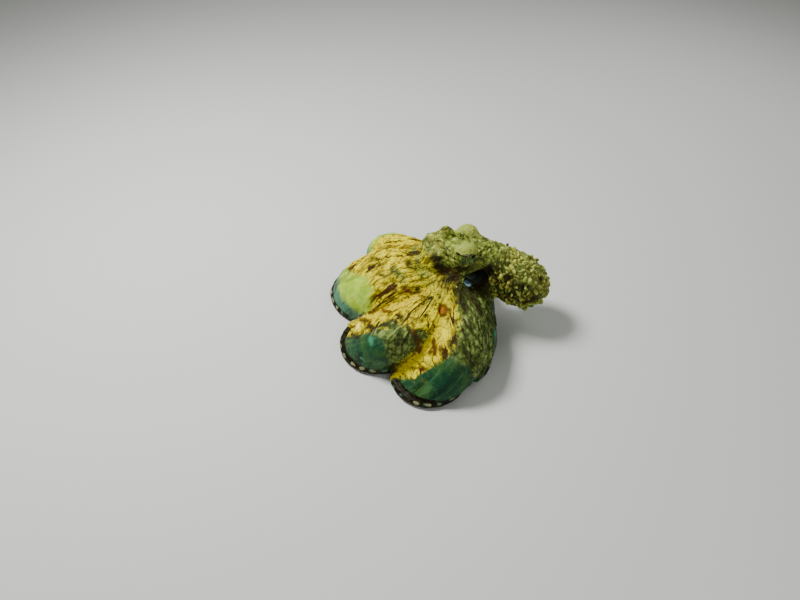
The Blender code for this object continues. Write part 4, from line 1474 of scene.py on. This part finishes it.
class OCTOPUS_OT_funnel(bpy.types.Operator):
    """Draw out the breathing funnel with its open bore"""

    bl_idname = "octopus.funnel"
    bl_label = "Funnel"

    def execute(self, context):
        mesh = funnel_mesh()
        points = vertices_of(mesh)
        mouth = np.array(FUNNEL_ROUTE[-1]) * MM
        lip = 1 - smoothstep(0.0070, 0.0100, np.linalg.norm(points - mouth, axis=1))
        lip *= smoothstep(0.002, -0.005, points[:, 2] - mouth[2])  # pale beneath the mouth only
        store(mesh, "lip_place", np.stack([lip, lip, lip], 1))
        mesh.transform(Matrix.Translation(SHIFT))
        mesh.shade_smooth()
        funnel = new_object("breathing_funnel", mesh, funnel_material())
        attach(funnel, "root")
        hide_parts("funnel")
        return {"FINISHED"}


# ---------------------------------------------------------------- papillae


def papilla_mesh(count):
    """Copies of one soft wart, a small ball drawn up to a blunt tip, and the shape of one."""
    bm = bmesh.new()
    bmesh.ops.create_uvsphere(bm, u_segments=12, v_segments=10, radius=1)
    for vertex in bm.verts:
        taper = 1 - 0.74 * max(vertex.co.z, 0) ** 1.2
        vertex.co = (vertex.co.x * taper, vertex.co.y * taper, max(vertex.co.z, -0.5))
    one = new_object("papilla", mesh_of(bm, "papilla"))
    shape = vertices_of(one.data)
    row = one.modifiers.new("row", "ARRAY")
    row.count = count
    return mesh_alone(one), shape


def papilla_material():
    """The same moist skin drawn up into warts, with its mottling, painted shade at their feet and
    paler tips.
    """
    paint = Painter("octopus_papilla")
    level, tone, on_mantle = paint.marks("tip_place")
    fine = paint("noise", paint("place"), 1 / PAPILLA_GRAIN, 3, 0.6)
    raised = level * 0.5 + tone * 0.5
    colour = warty_colour(paint, mottling(paint), on_mantle * 0.4, on_mantle, raised)
    colour = paint.coats(colour, (level + (fine - 0.5), 0.35, 1.1, tone * 0.8, "D8DC84"))
    bump = paint("bump", fine, 0.6, 0.7 * MM)
    return paint.finished(
        {"Base Color": colour, "Roughness": 0.6, "Specular IOR Level": 0.1, "Normal": bump}
    )


# Large papillae that keep their places: where, half-width, height and lean, in millimetres.
HORNS = (
    ((-35, -11, 152), 4.6, 11, (0.0, -0.3, 0.7)),
    ((17, -21, 160), 2.6, 3.0, (0.0, -0.4, 0.0)),
    ((23, 5, 166), 2.6, 3.0, (0.2, -0.3, 0.3)),
    ((-31, 22, 176), 4.0, 2.5, (-0.2, 0.0, 0.2)),
    ((-22, -24, 150), 2.4, 5.0, (0.0, -0.2, 0.4)),
    ((-16, -46, 108), 2.2, 3.0, (0.0, -0.4, 0.2)),
    ((34, -8, 160), 3.4, 6.0, (0.2, 0.0, 0.5)),
)


# Warts scattered over the body: its part, how many, the gap between two, and the bounds of their
# half-widths and heights in millimetres.
WARTS = (
    ("mantle", 90, 0.0135, (3.4, 7.0), (2.4, 6.5)),
    ("mantle", 70, 0.0080, (1.2, 2.6), (1.0, 2.8)),
    ("head", 70, 0.0100, (1.8, 3.4), (1.2, 3.6)),
    ("head", 70, 0.0070, (0.9, 1.7), (0.6, 1.6)),
)
WART_LEANS = ((-0.9, 0.3), (-0.6, 0.4), (-0.3, 0.5))  # bounds of a wart's lean along each axis
WART_ORDER = 7  # seed of the scatter
BAKE_PATCH = 0.003  # width of a wart's patch on the map laid out for baking the markings


def bake_map(mesh, roots, shape):
    """A small disc for each wart, at its root's place on the unrolled mantle and head."""
    along, across, up = mantle_place(roots).T
    mantle_side = 0.25 + 0.22 * np.arctan2(across, up) / math.pi
    beside = roots - np.array(HEAD_MASSES[0][0]) * MM
    head_side = 0.75 + 0.22 * np.arctan2(beside[:, 1], beside[:, 2]) / math.pi
    back = np.linalg.norm(mantle_place(roots), axis=1) < 1.2
    mantle_level = 0.5 + 0.45 * np.clip(along, -1, 1)
    head_level = 0.5 + 7 * np.clip(beside[:, 0], -0.06, 0.06)
    sides, levels = np.where(back, (mantle_side, mantle_level), (head_side, head_level))
    middles = np.stack([sides, levels], axis=1)
    out = np.arccos(np.clip(shape[:, 2], -0.5, 1)) / math.pi * BAKE_PATCH / 2
    turn = np.arctan2(shape[:, 1], shape[:, 0])
    disc = np.stack([out * np.cos(turn), out * np.sin(turn)], axis=1)
    places = (middles[:, None] + disc[None]).reshape(-1, 2)
    corners = np.empty(len(mesh.loops), dtype=np.int32)
    mesh.loops.foreach_get("vertex_index", corners)
    layer = mesh.uv_layers.new(name="OFBake")
    layer.data.foreach_set("uv", places[corners].astype(np.float32).ravel())


def scattered(points, allowed, count, gap, order):
    """A random choice of points, no two in the same cell of a grid."""
    choices = [int(i) for i in np.nonzero(allowed)[0]]
    order.shuffle(choices)
    taken, chosen = set(), []
    for i in choices:
        cell = tuple(int(c // gap) for c in points[i])
        if cell not in taken and len(chosen) < count:
            taken.add(cell)
            chosen.append(i)
    return chosen


def bare_skin(points):
    """Where no wart grows: the mantle's opening, the head's dark blotches and painted shade, the
    eyes' domes.
    """
    bare = spread_from(points, APERTURE_CENTRE, APERTURE_SIZE) < 1.15
    for centre, size in BROWN_AND_SHADE_BLOTCHES[:BLOTCHES_OF_HEAD]:
        bare |= spread_from(points, Vector(centre) * MM, Vector(size) * MM) < 0.95
    for side in EYE_CENTRES:
        bare |= dome_spread(points, side) < 1.08
    return bare


def chosen_warts(points, parts, order):
    """Each wart's point of the skin, half-width, height, flatness and lean."""
    warts = []
    bare = bare_skin(points)
    for part, count, gap, widths, heights in WARTS:
        for i in scattered(points, parts[part] & ~bare, count, gap, order):
            size = order.random() ** 1.6
            width = widths[0] + (widths[1] - widths[0]) * size
            height = heights[0] + (heights[1] - heights[0]) * size * order.uniform(0.6, 1)
            lean = Vector([order.uniform(*bounds) for bounds in WART_LEANS])
            warts.append((i, width, height, order.uniform(0.35, 0.7), lean))
    for centre, width, height, lean in HORNS:
        i = int(np.argmin(np.linalg.norm(points - np.array(centre) * MM, axis=1)))
        warts.append((i, width, height, 0.8, Vector(lean)))
    return warts


class OCTOPUS_OT_papillae(bpy.types.Operator):
    """Raise the warts of the mantle, the head and the crown"""

    bl_idname = "octopus.papillae"
    bl_label = "Papillae"

    def execute(self, context):
        skin = bpy.data.objects["octopus_skin"]
        points = vertices_of(skin.data) - np.array(SHIFT)
        normals = vertex_normals(skin.data)
        head = depth_in_masses(points, HEAD_MASSES)
        mantle = mantle_place(points)
        on_mantle = (np.linalg.norm(mantle, axis=1) < 1.15) & (head > 1.02)
        on_mantle &= (mantle[:, 2] > -0.5) & (mantle[:, 0] - 0.5 * mantle[:, 2] < 0.9)
        on_head = (head < 1.12) & (points[:, 2] > 0.108)
        order = random.Random(WART_ORDER)
        warts = chosen_warts(points, {"mantle": on_mantle, "head": on_head}, order)
        mesh, shape = papilla_mesh(len(warts))
        placed = []
        for i, width, height, flatness, lean in warts:
            upright = (Vector(normals[i]) + lean).normalized().to_track_quat("Z", "Y").to_matrix()
            size = np.array((width * flatness, width, height)) * MM
            placed.append(points[i] + (shape * size) @ np.array(upright).T)
        set_vertices(mesh, np.concatenate(placed))
        tips = np.tile(shape[:, 2], len(warts))
        tone = np.repeat([order.random() for _ in warts], len(shape))
        mantled = np.repeat([float(on_mantle[wart[0]]) for wart in warts], len(shape))
        store(mesh, "tip_place", np.stack([tips, tone, mantled], 1))
        bake_map(mesh, np.array([points[wart[0]] for wart in warts]), shape)
        mesh.transform(Matrix.Translation(SHIFT))
        mesh.shade_smooth()
        papillae = new_object("papillae", mesh, papilla_material())
        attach(papillae, "root")
        return {"FINISHED"}


# ---------------------------------------------------------------- stage


FLOOR_HALF_WIDTH = 6
SKY_STRENGTH = 0.2
LAMP_TARGET = Vector((0, 0, 0.08))
# Lamps: name, place, width and power in watts. The key stands high behind the left shoulder.
LAMPS = (
    ("key", (-0.75, 0.30, 1.35), 0.4, 34),
    ("fill", (0.5, -1.4, 0.8), 1.0, 5),
    ("back", (0.9, 0.9, 1.1), 0.9, 6),
)
CAMERA_PLACE = Vector((-0.104, -0.682, 0.748))
CAMERA_PITCH = 46.5  # degrees below level
CAMERA_HALF_VIEW = 35  # degrees from the middle of the view to its side


def floor_material():
    """Matt paper: no sheen, so that the floor stays quiet beneath the animal."""
    paint = Painter("matt_studio_paper")
    return paint.finished({"Base Color": "D9DAD4", "Roughness": 0.85})


class OCTOPUS_OT_stage(bpy.types.Operator):
    """Lay the floor, hang the lights and place the camera"""

    bl_idname = "octopus.stage"
    bl_label = "Floor, lights and camera"

    def execute(self, context):
        bm = bmesh.new()
        bmesh.ops.create_grid(bm, x_segments=1, y_segments=1, size=FLOOR_HALF_WIDTH)
        floor = new_object("studio_floor", mesh_of(bm, "studio_floor"), floor_material())
        scene = context.scene
        scene.world = bpy.data.worlds.new("studio")
        scene.world.use_nodes = True
        sky = scene.world.node_tree.nodes["Background"]
        sky.inputs["Color"].default_value = (*linear("E8EEEA"), 1)
        sky.inputs["Strength"].default_value = SKY_STRENGTH
        for name, place, width, power in LAMPS:
            light = bpy.data.lights.new(name, "AREA")
            light.size = width
            light.energy = power
            lamp = new_object(name, light)
            lamp.location = place
            aim = (LAMP_TARGET - Vector(place)).to_track_quat("-Z", "Y")
            lamp.rotation_euler = aim.to_euler()
        camera = bpy.data.cameras.new("camera")
        camera.sensor_width = 36
        camera.lens = camera.sensor_width / 2 / math.tan(math.radians(CAMERA_HALF_VIEW))
        camera.clip_start = 0.02
        eye = new_object("camera", camera)
        eye.location = CAMERA_PLACE + SHIFT
        eye.rotation_euler = Euler((math.radians(90 - CAMERA_PITCH), 0, 0))
        scene.camera = eye
        return {"FINISHED"}


class OCTOPUS_PT_panel(bpy.types.Panel):
    bl_label = "Day octopus"
    bl_space_type = "VIEW_3D"
    bl_region_type = "UI"
    bl_category = "Octopus"

    def draw(self, context):
        for name in OctopusSettings.__annotations__:
            self.layout.prop(context.scene.octopus, name)
        for operator in OPERATORS:
            self.layout.operator(operator.bl_idname)


OPERATORS = (
    OCTOPUS_OT_skin, OCTOPUS_OT_eyes, OCTOPUS_OT_funnel, OCTOPUS_OT_papillae, OCTOPUS_OT_stage,
)
CLASSES = (OctopusSettings, *OPERATORS, OCTOPUS_PT_panel)


def register():
    for each in CLASSES:
        bpy.utils.register_class(each)
    bpy.types.Scene.octopus = PointerProperty(type=OctopusSettings)


def unregister():
    del bpy.types.Scene.octopus
    for each in reversed(CLASSES):
        bpy.utils.unregister_class(each)


def main():
    register()
    bpy.ops.octopus.skin()
    bpy.ops.octopus.eyes()
    bpy.ops.octopus.funnel()
    bpy.ops.octopus.papillae()
    bpy.ops.octopus.stage()


if __name__ == "__main__":
    main()
